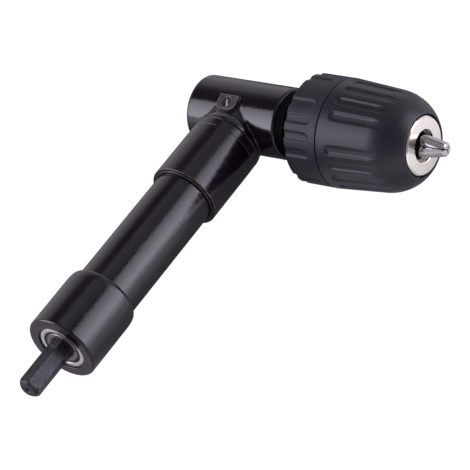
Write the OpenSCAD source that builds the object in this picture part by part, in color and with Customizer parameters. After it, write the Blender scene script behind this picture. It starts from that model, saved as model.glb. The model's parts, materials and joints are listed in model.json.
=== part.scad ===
// Right angle drill attachment: hex shank in, keyless chuck out at ninety degrees.
// The origin is the centre of the collar's end face, on the shank's axis.
// -Y points along the shank, +X along the chuck towards the jaws, +Z up.
// The two axes cross at a right angle inside the head, at the distance "reach".

/* [Shank and handle] */
// Distance from the crossing of the two axes to the collar's end face
reach = 128; // [110:1:170]
// Shank size across its flats
hex_af = 8; // [6.5:0.1:8.4]
// Length of shank outside the collar
shank_len = 21; // [16:0.5:35]
// Length of the rounding at the shank's tip
tip_round = 1.5; // [0.8:0.1:2]
// Diameter of the centre hole in the shank's tip
centre_hole_d = 2.4; // [1:0.1:3]
// Diameter of the long handle tube
tube_d = 24; // [23:0.1:25]
// Wall of the handle tube
tube_wall = 2.2; // [1.2:0.1:4]
// Wall of the end collar over the tube
collar_wall = 2.15; // [1.2:0.05:4]
// Length of the end collar
collar_len = 28; // [20:0.5:36]
// Rounding at the collar's upper edge
collar_round = 2; // [0.5:0.1:2.5]
// Chamfer at the collar's end face
collar_chamfer = 0.6; // [0.2:0.1:1]

/* [Head casting] */
// Diameter of the head
head_d = 28; // [26.5:0.1:32]
// Crossing of the axes to the head's rear face
head_back = 20; // [19:0.5:26]
// Crossing of the axes to the head's front edge
head_front = 23; // [22:0.5:28]
// Chamfer at both ends of the head
head_chamfer = 0.8; // [0.3:0.1:1.5]
// Wall of the socket round the neck's spigot
socket_wall = 1.68; // [1:0.02:2.4]
// Crossing of the axes to the socket's end
socket_end = 16.2; // [15.6:0.1:18]
// Length of the rounded shoulder at the socket's end
shoulder_len = 4.6; // [2:0.1:5]
// Width of the flat pad round the grease plug
pad_w = 9; // [7:0.1:11]
// Length of the pad down its slope
pad_len = 6.4; // [5.4:0.1:7.5]
// Radius of the pad's two lower corners
pad_round = 2.4; // [0.5:0.1:3]
// Height of the pad's middle above the axes
pad_h = 14.1; // [13.6:0.1:16]
// Crossing of the axes to the pad's middle, along the handle
pad_along = 7.2; // [6:0.1:8.5]
// Slope of the pad towards the shank, in degrees
pad_slope = 20; // [5:1:30]
// Diameter of the grease plug
plug_d = 4; // [3:0.1:5]
// Length of the grease plug
plug_len = 2.6; // [1.5:0.1:3]
// Depth of the plug's head below the pad
plug_sink = 0.35; // [0.1:0.05:0.8]

/* [Neck] */
// Width of the lock ring between socket and neck
lock_ring_w = 3.5; // [2:0.1:6]
// Wall of the lock ring over the neck's spigot
lock_ring_wall = 3.25; // [2.5:0.05:4]
// Depth of the lock ring's rim below the head's shoulder
lock_ring_drop = 0.05; // [0.02:0.01:0.5]
// Wall of the neck sleeve over the tube
neck_wall = 1.9; // [1.2:0.05:3.5]
// Length of the neck sleeve's outer part
neck_len = 26.8; // [20:0.5:45]
// Chamfer at the neck's lower end
neck_chamfer = 0.9; // [0.3:0.1:1.5]
// Chamfer of the seams on either side of the lock ring
seam_chamfer = 0.25; // [0.1:0.05:0.5]
// Wall of the neck's spigot round the pinion bearing
spigot_wall = 1.1; // [0.8:0.05:1.4]
// Thickness of the webs that stop the tube and the bearings
web_t = 3; // [1.5:0.1:5]

/* [Gears] */
// Module of both bevel gears
gear_module = 1.25; // [1.1:0.01:1.28]
// Teeth on each bevel gear
gear_teeth = 14; // [14:1:14]
// Face width as a share of the cone distance
face_share = 0.31; // [0.2:0.01:0.34]
// Thinning of each tooth, which gives the backlash
gear_backlash = 0.16; // [0.1:0.01:0.4]
// Crossing of the axes to the back of each gear's hub
gear_mount = 12.3; // [12:0.1:13]
// Diameter of each gear's hub
gear_hub_d = 12.4; // [10:0.1:13]
// Diameter of the cross pins
cross_pin_d = 2; // [1:0.1:2.2]

/* [Bearings] */
// Bore of the end bearing
end_bore = 10; // [9.8:0.1:11]
// Outer diameter of the end bearing
end_od = 19; // [18:0.1:21]
// Width of the end bearing
end_w = 5; // [4.5:0.1:7]
// Depth of the end bearing below the collar's end face
end_recess = 0.6; // [0.2:0.1:1.5]
// Bore of the pinion bearing
pinion_bore = 8; // [7:0.1:9]
// Outer diameter of the pinion bearing
pinion_od = 19; // [18:0.1:19.4]
// Width of the pinion bearing
pinion_w = 6; // [5.2:0.1:7]
// Bore of the front bearing
front_bore = 10; // [9:0.1:11]
// Outer diameter of the front bearing
front_od = 22; // [21.6:0.1:22.6]
// Width of the front bearing
front_w = 6; // [5.4:0.1:7]
// Bore of the rear bearing
rear_bore = 6; // [5:0.1:6.6]
// Outer diameter of the rear bearing
rear_od = 13; // [12.6:0.1:14]
// Width of the rear bearing
rear_w = 5; // [4:0.1:5.4]
// Ball diameter as a share of each bearing's section
ball_share = 0.53; // [0.4:0.01:0.6]

/* [Spindle and front ring] */
// Diameter of the spindle inside the bevel gear
gear_seat_d = 8; // [7:0.1:8.4]
// Diameter of the spindle's collar
spindle_collar_d = 12.4; // [11.6:0.1:13]
// Diameter of the spindle's mounting thread
thread_d = 9.52; // [8:0.1:10]
// Length of the spindle's mounting thread
thread_len = 14.7; // [10:0.1:16]
// Wrench size of the spindle's hexagon
spindle_hex_af = 15; // [13:0.1:16]
// Thickness of the spindle's hexagon
spindle_hex_t = 1.9; // [1:0.1:4]
// Outer diameter of the front ring
front_ring_d = 26.8; // [24:0.1:27.6]
// Length of the front ring outside the head
front_ring_len = 4.6; // [3:0.1:8]
// Gap between the front ring and the spindle's hexagon
front_gap = 1.9; // [0.5:0.1:4]
// Length of the oil seal
seal_len = 4; // [2:0.1:5]

/* [Chuck] */
// Wall of both sleeves over the chuck body
sleeve_wall = 4; // [3.2:0.1:7]
// Length of the rear sleeve
rear_sleeve_len = 14.8; // [12:0.1:18]
// Gap between the two sleeves
sleeve_gap = 0.4; // [0.3:0.1:0.8]
// Wall of the rear sleeve's end
rear_wall_t = 2; // [1:0.1:3]
// Drop of the front sleeve's radius along its taper
taper_drop = 1.64; // [0.8:0.02:2.4]
// Length of the front sleeve's rounded nose
nose_round_len = 12.7; // [9:0.1:14]
// Radius of the front sleeve's rounded nose
nose_round_r = 21; // [18:0.5:40]
// Step from the nut's band out to the chuck body's rim
body_step = 0.98; // [0.5:0.02:1.6]
// Length of the chuck body's wide part
body_len = 22.8; // [21:0.1:26]
// Length of the groove that holds the nut
groove_len = 9.2; // [8.6:0.1:11]
// Diameter at the bottom of the nut's groove
groove_d = 16; // [15:0.1:17]
// Diameter of the chuck body in front of the nut
body_front_d = 24.2; // [22:0.1:26]
// Length of the chuck body in front of the nut
body_front_len = 11.3; // [9:0.1:14]
// Wall of the nose ring round the body's spigot
nose_wall = 1.6; // [1:0.1:2.4]
// Length of the body's spigot in the nose ring
nose_spigot_len = 2.4; // [1.5:0.1:4]
// Step from the chuck body in to the nose ring's rim
nose_step = 0.25; // [0.1:0.05:0.8]
// Thickness of the nose ring in front of the spigot
nose_ring_t = 2; // [1:0.1:3]
// Diameter of the hole in the nose ring
nose_hole_d = 12.3; // [11:0.1:14]
// Chamfer round the nose ring
nose_chamfer = 0.5; // [0.2:0.1:0.9]
// Diameter of the chuck body's rear hub
rear_hub_d = 20; // [18:0.1:24]
// Length of the rear hub outside the rear sleeve
rear_hub_out = 1.1; // [0.5:0.1:3]
// Diameter of the lock screw
lock_screw_d = 5; // [4:0.1:5.6]
// Diameter of the lock screw's head
lock_head_d = 8.4; // [7:0.1:9.4]
// Thickness of the lock screw's head
lock_head_t = 2.6; // [1.5:0.1:3.5]

/* [Grip flutes] */
// Positions round each sleeve, every fifth of which is left plain
flute_places = 20; // [10:5:25]
// Width of each flute
flute_w = 3.7; // [2:0.1:4.5]
// Depth of each flute
flute_depth = 0.7; // [0.3:0.1:1]
// Seam to the round ends of the rear flutes
rear_flute_margin = 3.2; // [2:0.1:6]
// Seam to the round ends of the front flutes
front_flute_margin = 3.8; // [2:0.1:6]
// Length of the front flutes
front_flute_len = 23; // [14:0.5:26]

/* [Jaws and nut] */
// Largest tool shank that the chuck takes
capacity = 10; // [6:0.5:10]
// Inclination of the jaws to the chuck's axis, in degrees
jaw_tilt = 13; // [12:0.1:13.5]
// Diameter of each jaw
jaw_d = 6.6; // [6:0.1:6.8]
// Length of each jaw along the chuck
jaw_len = 32.9; // [31:0.1:34]
// Length of closed jaw outside the nose ring
jaw_out = 10; // [8:0.1:12]
// Diameter of the closed jaws at their tip
jaw_tip_d = 4.8; // [4:0.1:5.4]
// Chamfer at the jaws' tips
jaw_chamfer = 0.5; // [0.2:0.1:0.9]
// Width of the thrust washer from its bore to its rim
washer_width = 3.14; // [2.4:0.02:3.6]
// Wall of the band that holds the nut's halves
band_wall = 1.5; // [1:0.1:2]
// Thickness of the thrust washer
washer_t = 1; // [0.6:0.1:1.4]
// Diameter of the thrust balls
thrust_ball_d = 1.6; // [1.2:0.1:1.8]
// Number of thrust balls
thrust_count = 20; // [12:1:22]

/* [Fits] */
// Radial clearance of seats and press fits
seat_fit = 0.02; // [0.01:0.01:0.04]
// End clearance between stacked pieces
end_play = 0.05; // [0.02:0.01:0.1]
// Radial clearance of the jaws in their bores
jaw_fit = 0.05; // [0.03:0.01:0.1]
// Gap between closed jaws
jaw_split = 0.12; // [0.06:0.01:0.3]
// Clearance of balls in their tracks
ball_fit = 0.03; // [0.02:0.01:0.06]
// Clearance between turning and still pieces
run_gap = 0.3; // [0.2:0.05:0.4]

/* [Hidden] */

round_fn = 96;
cut = gear_module;
body_color = "#1b1a1e";
steel_color = "silver";
dark_steel_color = "#3a3a3e";
plastic_color = "#3b3b44";

// Bevel pair: equal gears, so both pitch cones stand at 45 degrees.
pressure_angle = 20;
pitch_r = gear_module * gear_teeth / 2;
cone_dist = pitch_r * sqrt(2);
virtual_teeth = gear_teeth * sqrt(2);
base_r = cone_dist * cos(pressure_angle);
dedendum_share = 1.2;
tooth_root = cone_dist - gear_module * dedendum_share;
tooth_tip = cone_dist + gear_module;
flank_shares = [0, 0.34, 0.6, 0.8, 1];
toe_share = 1 - face_share;
hub_root = pitch_r + gear_module * dedendum_share / sqrt(2) + end_play;
toe_face = toe_share * pitch_r + gear_module / 2;
pin_at = (hub_root + gear_mount) / 2;

// Handle, measured from the crossing of the axes towards the shank.
shoulder_start = socket_end - shoulder_len;
neck_start = socket_end + lock_ring_w;
neck_end = neck_start + neck_len;
pinion_bearing_at = gear_mount + end_play;
pinion_bearing_end = pinion_bearing_at + pinion_w;
neck_web_end = pinion_bearing_end + end_play + web_t;
collar_start = reach - collar_len;
end_bearing_end = reach - end_recess;
end_bearing_at = end_bearing_end - end_w;
tube_end = end_bearing_at - web_t - end_play;
mouth_d = end_od + 1.4 * end_recess;
shaft_d = end_bore;
spigot_shaft_d = pinion_bore * 0.75;
spigot_d = pinion_od + 2 * spigot_wall;
neck_d = tube_d + 2 * neck_wall;
lock_ring_d = spigot_d + 2 * lock_ring_wall;
collar_d = tube_d + 2 * collar_wall;
circlip_t = web_t / 3;
circlip_depth_share = 0.08;
tip_flat_share = 0.65;
hex_cover_share = 1.05;

// Head, measured from the crossing of the axes towards the chuck.
chamber_d = front_od;
socket_bore_d = spigot_d + 2 * seat_fit;
socket_d = socket_bore_d + 2 * socket_wall;
chamber_back = socket_bore_d / 2 + 3 * end_play + gear_module / 2;
lip_t = gear_module / 2;
rear_bearing_end = chamber_back + lip_t + rear_w;
cap_d = rear_od + 1.6 * gear_module;
front_bearing_at = gear_mount + end_play;
front_bearing_end = front_bearing_at + front_w;
ring_start = front_bearing_end + end_play;
ring_end = head_front + front_ring_len;
ring_bore_d = (front_od + spindle_collar_d) / 2 + gear_module;
seal_end = ring_end - front_ring_len * 0.6;
spindle_hex_at = ring_end + front_gap;
spindle_hex_end = spindle_hex_at + spindle_hex_t;
thread_end = spindle_hex_end + thread_len;

// Chuck, measured from the crossing of the axes towards the jaws.
hub_start = spindle_hex_end + end_play;
rear_face = hub_start + rear_hub_out;
seam_at = rear_face + rear_sleeve_len;
front_start = seam_at + sleeve_gap;
body_start = rear_face + rear_wall_t + end_play;
groove_start = body_start + body_len;
groove_end = groove_start + groove_len;
body_front_end = groove_end + body_front_len;
nose_spigot_end = body_front_end + nose_spigot_len;
nose_face = nose_spigot_end + nose_ring_t;
sleeve_end = nose_face - nose_ring_t / 5;
round_start = sleeve_end - nose_round_len;
tool_bore_d = capacity + 2 * run_gap;
lock_web = thread_end + end_play;
lock_web_end = lock_web + lock_head_t;

// Jaws: each slides along its own inclined bore.
tip_at = nose_face + jaw_out;
jaw_rear_at = tip_at - jaw_len;
jaw_half = jaw_d / 2 / cos(jaw_tilt);
jaw_cross_at = tip_at - (jaw_half - jaw_tip_d / 2) / tan(jaw_tilt);
jaw_back = (jaw_cross_at - jaw_rear_at) / cos(jaw_tilt);
jaw_travel = capacity / 2 / sin(jaw_tilt);
jaw_turn = 103;
washer_at = groove_start + end_play;
thrust_at = washer_at + washer_t + ball_fit + thrust_ball_d / 2;
nut_at = thrust_at + thrust_ball_d / 2 + ball_fit;
nut_end = groove_end - 2 * run_gap;
nut_split = jaw_split;
washer_bore_d = 2 * jaw_line(groove_start) + 4 * run_gap;
washer_d = washer_bore_d + 2 * washer_width;
nut_d = washer_d + 2 * run_gap;
band_d = nut_d + 2 * (band_wall + seat_fit);
band_at = nut_at - thrust_ball_d;
body_d = band_d + 2 * body_step;
chuck_d = body_d + 2 * sleeve_wall;
nose_ring_d = body_front_d - 2 * nose_step;
nose_spigot_d = nose_ring_d - 2 * nose_wall;
taper_angle = atan(taper_drop / (round_start - front_start));
taper_end_d = chuck_d - 2 * taper_drop;
round_centre_r = taper_end_d / 2 - nose_round_r * cos(taper_angle);
round_centre_at = round_start - nose_round_r * sin(taper_angle);
round_end_angle = asin((sleeve_end - round_centre_at) / nose_round_r);
thrust_pitch_r = (washer_bore_d + washer_d) / 4;

// Flutes: groups of four, with one plain place between groups.
flute_group = 5;
front_plain_turn = 44;
rear_plain_turn = -1;
cutter_r = (pow(flute_w / 2, 2) + pow(flute_depth, 2)) / (2 * flute_depth);

// Turn of the shank's flats about the shank's axis, at rest
hex_turn = 35;
slot_turn = 115;

// Radius of the jaws' outer line at a place along the chuck
function jaw_line(at) = jaw_tip_d / 2 + (tip_at - at) * tan(jaw_tilt);

// Points of an arc about a centre, as [radius, place along the axis]
function arc(centre_r, centre_at, r, from, to, steps) = [
    for (i = [0:steps])
        let (a = from + (to - from) * i / steps)
            [centre_r + r * cos(a), centre_at + r * sin(a)]
];

// Bevel tooth: an involute on the back cone, drawn towards the crossing.
function involute(a) = tan(a) * 180 / PI - a;
function half_tooth(rho) =
    (90 / virtual_teeth + involute(pressure_angle)
        - involute(acos(base_r / max(rho, base_r)))
        - gear_backlash / 2 / cone_dist * 180 / PI) * sqrt(2);
function flank_rho(share) = tooth_root + (tooth_tip - tooth_root) * share;
function tooth_point(side, share, reach_share, mid) =
    let (
        rho = flank_rho(share),
        off = atan((rho - cone_dist) / cone_dist),
        t = reach_share * cone_dist / cos(off),
        a = mid + side * half_tooth(rho)
    )
    [t * sin(45 + off) * cos(a), t * sin(45 + off) * sin(a), t * cos(45 + off)];
function tooth_ring(reach_share, phase) = [
    for (k = [0:gear_teeth - 1])
        let (mid = phase + k * 360 / gear_teeth)
            each [
                for (s = flank_shares) tooth_point(-1, s, reach_share, mid),
                for (i = [len(flank_shares) - 1:-1:0])
                    tooth_point(1, flank_shares[i], reach_share, mid)
            ]
];

// Placing: local z runs from the crossing towards the shank, local y is up.
module along_handle() {
    translate([0, reach, 0]) rotate([90, 0, 0]) children();
}

// Placing: local z runs from the crossing towards the chuck's jaws.
module along_output() {
    translate([0, reach, 0]) rotate([0, 90, 0]) children();
}

// Turn about the output's axis, counted from -Y towards +Z, of the local x axis
module output_turn(angle) {
    rotate([0, 0, -90 - angle]) children();
}

// Solid of revolution from points [radius, place along the axis]
module turned(points) {
    rotate_extrude($fn = round_fn) polygon(points);
}

// Plain tube between two places
module ring(outer_d, inner_d, from, to) {
    turned([
        [inner_d / 2, from], [outer_d / 2, from],
        [outer_d / 2, to], [inner_d / 2, to]
    ]);
}

// Plain round cut or bar between two places
module bar(d, from, to) {
    translate([0, 0, from]) cylinder(d = d, h = to - from, $fn = round_fn);
}

// Hole across the axis for a cross pin
module cross_bar(d, length, at) {
    translate([0, 0, at]) rotate([90, 0, 0])
        cylinder(d = d, h = length, center = true, $fn = round_fn);
}

// Toothed body of one bevel gear, solid to its axis
module bevel_teeth(phase) {
    heel = tooth_ring(1, phase);
    toe = tooth_ring(toe_share, phase);
    n = len(heel);
    points = concat(toe, heel, [[0, 0, toe_face]], [[0, 0, hub_root]]);
    toe_mid = 2 * n;
    heel_mid = 2 * n + 1;
    faces = [
        for (i = [0:n - 1])
            let (j = (i + 1) % n)
                each [
                    [toe_mid, i, j],
                    [i, i + n, j],
                    [j, i + n, j + n],
                    [heel_mid, j + n, i + n]
                ]
    ];
    polyhedron(points = points, faces = faces);
}

// One bevel gear with its hub, bore and pin hole
module gear(phase, bore_d, pin_angle) {
    difference() {
        union() {
            bevel_teeth(phase);
            bar(gear_hub_d, hub_root - cut, gear_mount);
        }
        bar(bore_d + 2 * seat_fit, 0, gear_mount + cut);
        rotate([0, 0, pin_angle])
            cross_bar(cross_pin_d + 2 * seat_fit, gear_hub_d + cut, pin_at);
    }
}

// Sizes of a ball bearing that follow its bore, outer diameter and width
function pitch_of(bore, od) = (bore + od) / 4;
function ball_of(bore, od) = ball_share * (od - bore) / 2;
function land_of(bore, od, side) = pitch_of(bore, od) + side * ball_of(bore, od) * 0.22;

// Outer race, with its low face at "at"
module outer_race(bore, od, w, at) {
    edge = w / 20;
    difference() {
        turned([
            [land_of(bore, od, 1), at], [od / 2 - edge, at],
            [od / 2, at + edge], [od / 2, at + w - edge],
            [od / 2 - edge, at + w], [land_of(bore, od, 1), at + w]
        ]);
        ball_track(bore, od, at + w / 2);
    }
}

// Inner race, with its low face at "at"
module inner_race(bore, od, w, at) {
    edge = w / 20;
    difference() {
        turned([
            [bore / 2 + seat_fit, at], [land_of(bore, od, -1) - edge, at],
            [land_of(bore, od, -1), at + edge], [land_of(bore, od, -1), at + w - edge],
            [land_of(bore, od, -1) - edge, at + w], [bore / 2 + seat_fit, at + w]
        ]);
        ball_track(bore, od, at + w / 2);
    }
}

// Ring of the shape that the balls sweep, with their clearance
module ball_track(bore, od, at) {
    translate([0, 0, at]) rotate_extrude($fn = round_fn)
        translate([pitch_of(bore, od), 0])
            circle(r = ball_of(bore, od) / 2 + ball_fit, $fn = round_fn);
}

// Row of balls round a circle
module ball_row(pitch_r, ball_d, count, at) {
    for (k = [0:count - 1])
        rotate([0, 0, 360 * k / count]) translate([pitch_r, 0, at])
            sphere(d = ball_d, $fn = 48);
}

// Cage: a ring with a pocket for each ball
module ball_cage(pitch_r, thick, width, ball_d, count, at) {
    difference() {
        ring(2 * pitch_r + thick, 2 * pitch_r - thick, at - width / 2, at + width / 2);
        for (k = [0:count - 1])
            rotate([0, 0, 360 * k / count]) translate([pitch_r, 0, at])
                rotate([0, 90, 0])
                    cylinder(d = ball_d + 2 * ball_fit, h = ball_d, center = true,
                        $fn = 48);
    }
}

// Balls and cage of a ball bearing, placed from the same three sizes
function ball_count(bore, od) =
    floor(PI * pitch_of(bore, od) * 2 / (ball_of(bore, od) * 1.55));
module bearing_balls(bore, od, w, at) {
    ball_row(pitch_of(bore, od), ball_of(bore, od), ball_count(bore, od), at + w / 2);
}
module bearing_cage(bore, od, w, at) {
    ball_cage(pitch_of(bore, od), ball_of(bore, od) * 0.2, ball_of(bore, od) * 1.3,
        ball_of(bore, od), ball_count(bore, od), at + w / 2);
}

// Flat pad: straight at the top, two round corners at the bottom
module pad_outline() {
    low = -pad_len / 2 + pad_round;
    translate([-pad_w / 2, low]) square([pad_w, pad_len / 2 - low]);
    translate([pad_round - pad_w / 2, low - pad_round])
        square([pad_w - 2 * pad_round, pad_round + cut]);
    for (side = [-1, 1])
        translate([side * (pad_w / 2 - pad_round), low])
            circle(r = pad_round, $fn = round_fn);
}

// Placing: origin in the pad's middle, local z out of the pad
module on_pad() {
    along_handle() translate([0, pad_h, pad_along])
        rotate([pad_slope - 90, 0, 0]) children();
}

// Head casting: crossed cylinders with the pad, bored from both ends
module head_casting() {
    socket_r = socket_d / 2;
    end_r = lock_ring_d / 2 + lock_ring_drop;
    color(body_color) difference() {
        union() {
            along_output() turned([
                [0, -head_back], [head_d / 2 - head_chamfer, -head_back],
                [head_d / 2, -head_back + head_chamfer],
                [head_d / 2, head_front - head_chamfer],
                [head_d / 2 - head_chamfer, head_front], [0, head_front]
            ]);
            along_handle() turned(concat(
                [[0, 0], [socket_r, 0], [socket_r, shoulder_start]],
                [for (a = [15:15:75]) [
                    socket_r + (end_r - socket_r) * sin(a),
                    shoulder_start + (shoulder_len - seam_chamfer) * (1 - cos(a))
                ]],
                [[end_r, socket_end - seam_chamfer],
                    [end_r - seam_chamfer, socket_end], [0, socket_end]]
            ));
            on_pad() translate([0, 0, -plug_len - plug_sink])
                linear_extrude(plug_len + plug_sink) pad_outline();
        }
        along_output() bar(chamber_d + 2 * seat_fit, -chamber_back, head_front + cut);
        along_output() bar(rear_od - 2 * lip_t, -chamber_back - lip_t - cut, 0);
        along_output() bar(rear_od + 2 * seat_fit, -head_back - cut,
            -chamber_back - lip_t);
        along_output() bar(cap_d + 2 * seat_fit, -head_back - cut,
            -rear_bearing_end - end_play);
        along_handle() bar(socket_bore_d, 0, socket_end + cut);
        on_pad() bar(plug_d + 2 * seat_fit, -pad_h / 2, cut);
    }
}

// Cap pressed into the head's rear, with two spanner holes
module rear_cap() {
    hole_d = cap_d / 8;
    from = -head_back + end_play;
    to = -rear_bearing_end - 2 * end_play;
    color(body_color) along_output() difference() {
        bar(cap_d, from, to);
        for (side = [-1, 1])
            translate([side * cap_d / 3.4, 0, 0]) bar(hole_d, from - cut, (from + to) / 2);
    }
}

// Slotted plug that closes the grease hole in the pad
module grease_plug() {
    slot_w = plug_d / 5;
    slot_depth = plug_len / 4;
    color(steel_color) on_pad() difference() {
        bar(plug_d, -plug_len - plug_sink, -plug_sink);
        rotate([0, 0, slot_turn])
            translate([-plug_d, -slot_w / 2, -plug_sink - slot_depth])
                cube([2 * plug_d, slot_w, slot_depth + cut]);
    }
}

// Threaded ring that closes the head's front and holds the bearing
module front_ring() {
    thread_r = chamber_d / 2;
    edge = head_chamfer;
    color(body_color) along_output() turned([
        [ring_bore_d / 2, ring_start], [thread_r, ring_start],
        [thread_r, head_front + end_play], [front_ring_d / 2, head_front + end_play],
        [front_ring_d / 2, ring_end - edge], [front_ring_d / 2 - edge, ring_end],
        [spindle_collar_d / 2 + run_gap, ring_end],
        [spindle_collar_d / 2 + run_gap, seal_end + end_play],
        [ring_bore_d / 2, seal_end + end_play]
    ]);
}

// Rubber seal between the front ring and the spindle
module oil_seal() {
    color("#202020") along_output()
        ring(ring_bore_d - 2 * seat_fit, spindle_collar_d + 2 * jaw_fit,
            seal_end - seal_len, seal_end);
}

// Lock ring between the socket and the neck, a seam on either side
module lock_ring() {
    from = socket_end + end_play;
    to = neck_start - end_play;
    outer_r = lock_ring_d / 2;
    color(body_color) along_handle() turned([
        [spigot_d / 2 + seat_fit, from], [outer_r - seam_chamfer, from],
        [outer_r, from + seam_chamfer], [outer_r, to - seam_chamfer],
        [outer_r - seam_chamfer, to], [spigot_d / 2 + seat_fit, to]
    ]);
}

// Neck sleeve: spigot with the bearing seat, web, and tube socket
module neck_sleeve() {
    outer_r = neck_d / 2;
    tube_bore = tube_d / 2 + seat_fit;
    color(body_color) along_handle() turned([
        [pinion_od / 2 + seat_fit, gear_mount], [spigot_d / 2, gear_mount],
        [spigot_d / 2, neck_start], [outer_r - seam_chamfer, neck_start],
        [outer_r, neck_start + seam_chamfer], [outer_r, neck_end - neck_chamfer],
        [outer_r - neck_chamfer, neck_end], [tube_bore, neck_end],
        [tube_bore, neck_web_end], [pinion_od / 2 - gear_module, neck_web_end],
        [pinion_od / 2 - gear_module, pinion_bearing_end + end_play],
        [pinion_od / 2 + seat_fit, pinion_bearing_end + end_play]
    ]);
}

// Long tube of the handle
module handle_tube() {
    color(body_color) along_handle()
        ring(tube_d, tube_d - 2 * tube_wall, neck_web_end + end_play, tube_end);
}

// End collar: tube socket, web, and the end bearing's seat
module end_collar() {
    outer_r = collar_d / 2;
    tube_bore = tube_d / 2 + seat_fit;
    seat = end_od / 2 + seat_fit;
    web_r = end_od / 2 - gear_module;
    mouth_at = reach - 1.5 * end_recess;
    color(body_color) along_handle() turned(concat(
        [[tube_bore, tube_end + end_play], [tube_bore, collar_start]],
        arc(outer_r - collar_round, collar_start + collar_round, collar_round,
            -90, 0, 5),
        [
            [outer_r, reach - collar_chamfer], [outer_r - collar_chamfer, reach],
            [mouth_d / 2, reach], [mouth_d / 2, mouth_at], [seat, mouth_at],
            [seat, end_bearing_at - end_play], [web_r, end_bearing_at - end_play],
            [web_r, tube_end + end_play]
        ]
    ));
}

// End bearing, which shows in the collar's end face
module end_bearing_outer() {
    color(steel_color) along_handle() outer_race(end_bore, end_od, end_w, end_bearing_at);
}
module end_bearing_inner() {
    color(steel_color) along_handle() inner_race(end_bore, end_od, end_w, end_bearing_at);
}
module end_bearing_cage() {
    color("goldenrod") along_handle()
        bearing_cage(end_bore, end_od, end_w, end_bearing_at);
}
module end_bearing_balls() {
    color(steel_color) along_handle()
        bearing_balls(end_bore, end_od, end_w, end_bearing_at);
}
module end_bearing_seal() {
    sink = end_w / 20;
    color("#202020") along_handle()
        ring(2 * land_of(end_bore, end_od, 1) - 2 * seat_fit,
            2 * land_of(end_bore, end_od, -1) + 4 * jaw_fit,
            end_bearing_end - 2 * sink, end_bearing_end - sink);
}

// Pinion bearing, in the neck's spigot
module pinion_bearing_outer() {
    color(steel_color) along_handle()
        outer_race(pinion_bore, pinion_od, pinion_w, pinion_bearing_at);
}
module pinion_bearing_inner() {
    color(steel_color) along_handle()
        inner_race(pinion_bore, pinion_od, pinion_w, pinion_bearing_at);
}
module pinion_bearing_cage() {
    color("goldenrod") along_handle()
        bearing_cage(pinion_bore, pinion_od, pinion_w, pinion_bearing_at);
}
module pinion_bearing_balls() {
    color(steel_color) along_handle()
        bearing_balls(pinion_bore, pinion_od, pinion_w, pinion_bearing_at);
}

// Front bearing, behind the front ring
module front_bearing_outer() {
    color(steel_color) along_output()
        outer_race(front_bore, front_od, front_w, front_bearing_at);
}
module front_bearing_inner() {
    color(steel_color) along_output()
        inner_race(front_bore, front_od, front_w, front_bearing_at);
}
module front_bearing_cage() {
    color("goldenrod") along_output()
        bearing_cage(front_bore, front_od, front_w, front_bearing_at);
}
module front_bearing_balls() {
    color(steel_color) along_output()
        bearing_balls(front_bore, front_od, front_w, front_bearing_at);
}

// Rear bearing, in front of the rear cap
module rear_bearing_outer() {
    color(steel_color) along_output()
        outer_race(rear_bore, rear_od, rear_w, -rear_bearing_end);
}
module rear_bearing_inner() {
    color(steel_color) along_output()
        inner_race(rear_bore, rear_od, rear_w, -rear_bearing_end);
}
module rear_bearing_cage() {
    color("goldenrod") along_output()
        bearing_cage(rear_bore, rear_od, rear_w, -rear_bearing_end);
}
module rear_bearing_balls() {
    color(steel_color) along_output()
        bearing_balls(rear_bore, rear_od, rear_w, -rear_bearing_end);
}

// Input shaft: stepped round bar with a hex shank
module input_shaft() {
    hex_r = hex_af / 2 / cos(30);
    tip = reach + shank_len;
    flat_r = hex_r * tip_flat_share;
    ball_back = (pow(hex_r, 2) + pow(tip_round, 2) - pow(flat_r, 2)) / (2 * tip_round);
    ball_r = sqrt(pow(flat_r, 2) + pow(ball_back, 2));
    clip_r = shaft_d / 2 * (1 - circlip_depth_share);
    clip_at = end_bearing_at - end_play - circlip_t;
    color(dark_steel_color) along_handle() difference() {
        union() {
            turned([
                [0, toe_face], [spigot_shaft_d / 2, toe_face],
                [spigot_shaft_d / 2, gear_mount], [pinion_bore / 2, gear_mount],
                [pinion_bore / 2, pinion_bearing_end + end_play],
                [shaft_d / 2, pinion_bearing_end + end_play],
                [shaft_d / 2, clip_at - end_play], [clip_r, clip_at - end_play],
                [clip_r, end_bearing_at], [shaft_d / 2, end_bearing_at],
                [shaft_d / 2, end_bearing_end], [0, end_bearing_end]
            ]);
            intersection() {
                rotate([0, 0, hex_turn - 30]) translate([0, 0, end_bearing_at])
                    cylinder(r = hex_r, h = tip - end_bearing_at, $fn = 6);
                union() {
                    bar(2 * hex_r * hex_cover_share, end_bearing_at, tip - ball_back);
                    translate([0, 0, tip - ball_back]) sphere(r = ball_r, $fn = round_fn);
                }
            }
        }
        turned([
            [0, tip - centre_hole_d], [centre_hole_d / 2, tip], [0, tip + cut]
        ]);
        cross_bar(cross_pin_d + 2 * seat_fit, shaft_d, pin_at);
    }
}

// Snap ring on the shaft, behind the end bearing
module shaft_circlip() {
    clip_d = shaft_d * 1.3;
    clip_at = end_bearing_at - end_play - circlip_t;
    opening = shaft_d / 4;
    color(steel_color) along_handle() difference() {
        ring(clip_d, shaft_d * (1 - circlip_depth_share) + 2 * seat_fit,
            clip_at, clip_at + circlip_t);
        translate([0, -opening / 2, clip_at - cut])
            cube([clip_d, opening, circlip_t + 2 * cut]);
    }
}

// Bevel pinion on the input shaft, a tooth gap towards the bevel gear
module bevel_pinion() {
    color(steel_color) along_handle()
        gear(180 / gear_teeth, spigot_shaft_d, 0);
}
module pinion_pin() {
    color(steel_color) along_handle()
        cross_bar(cross_pin_d, gear_hub_d - 2 * seat_fit, pin_at);
}

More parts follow.
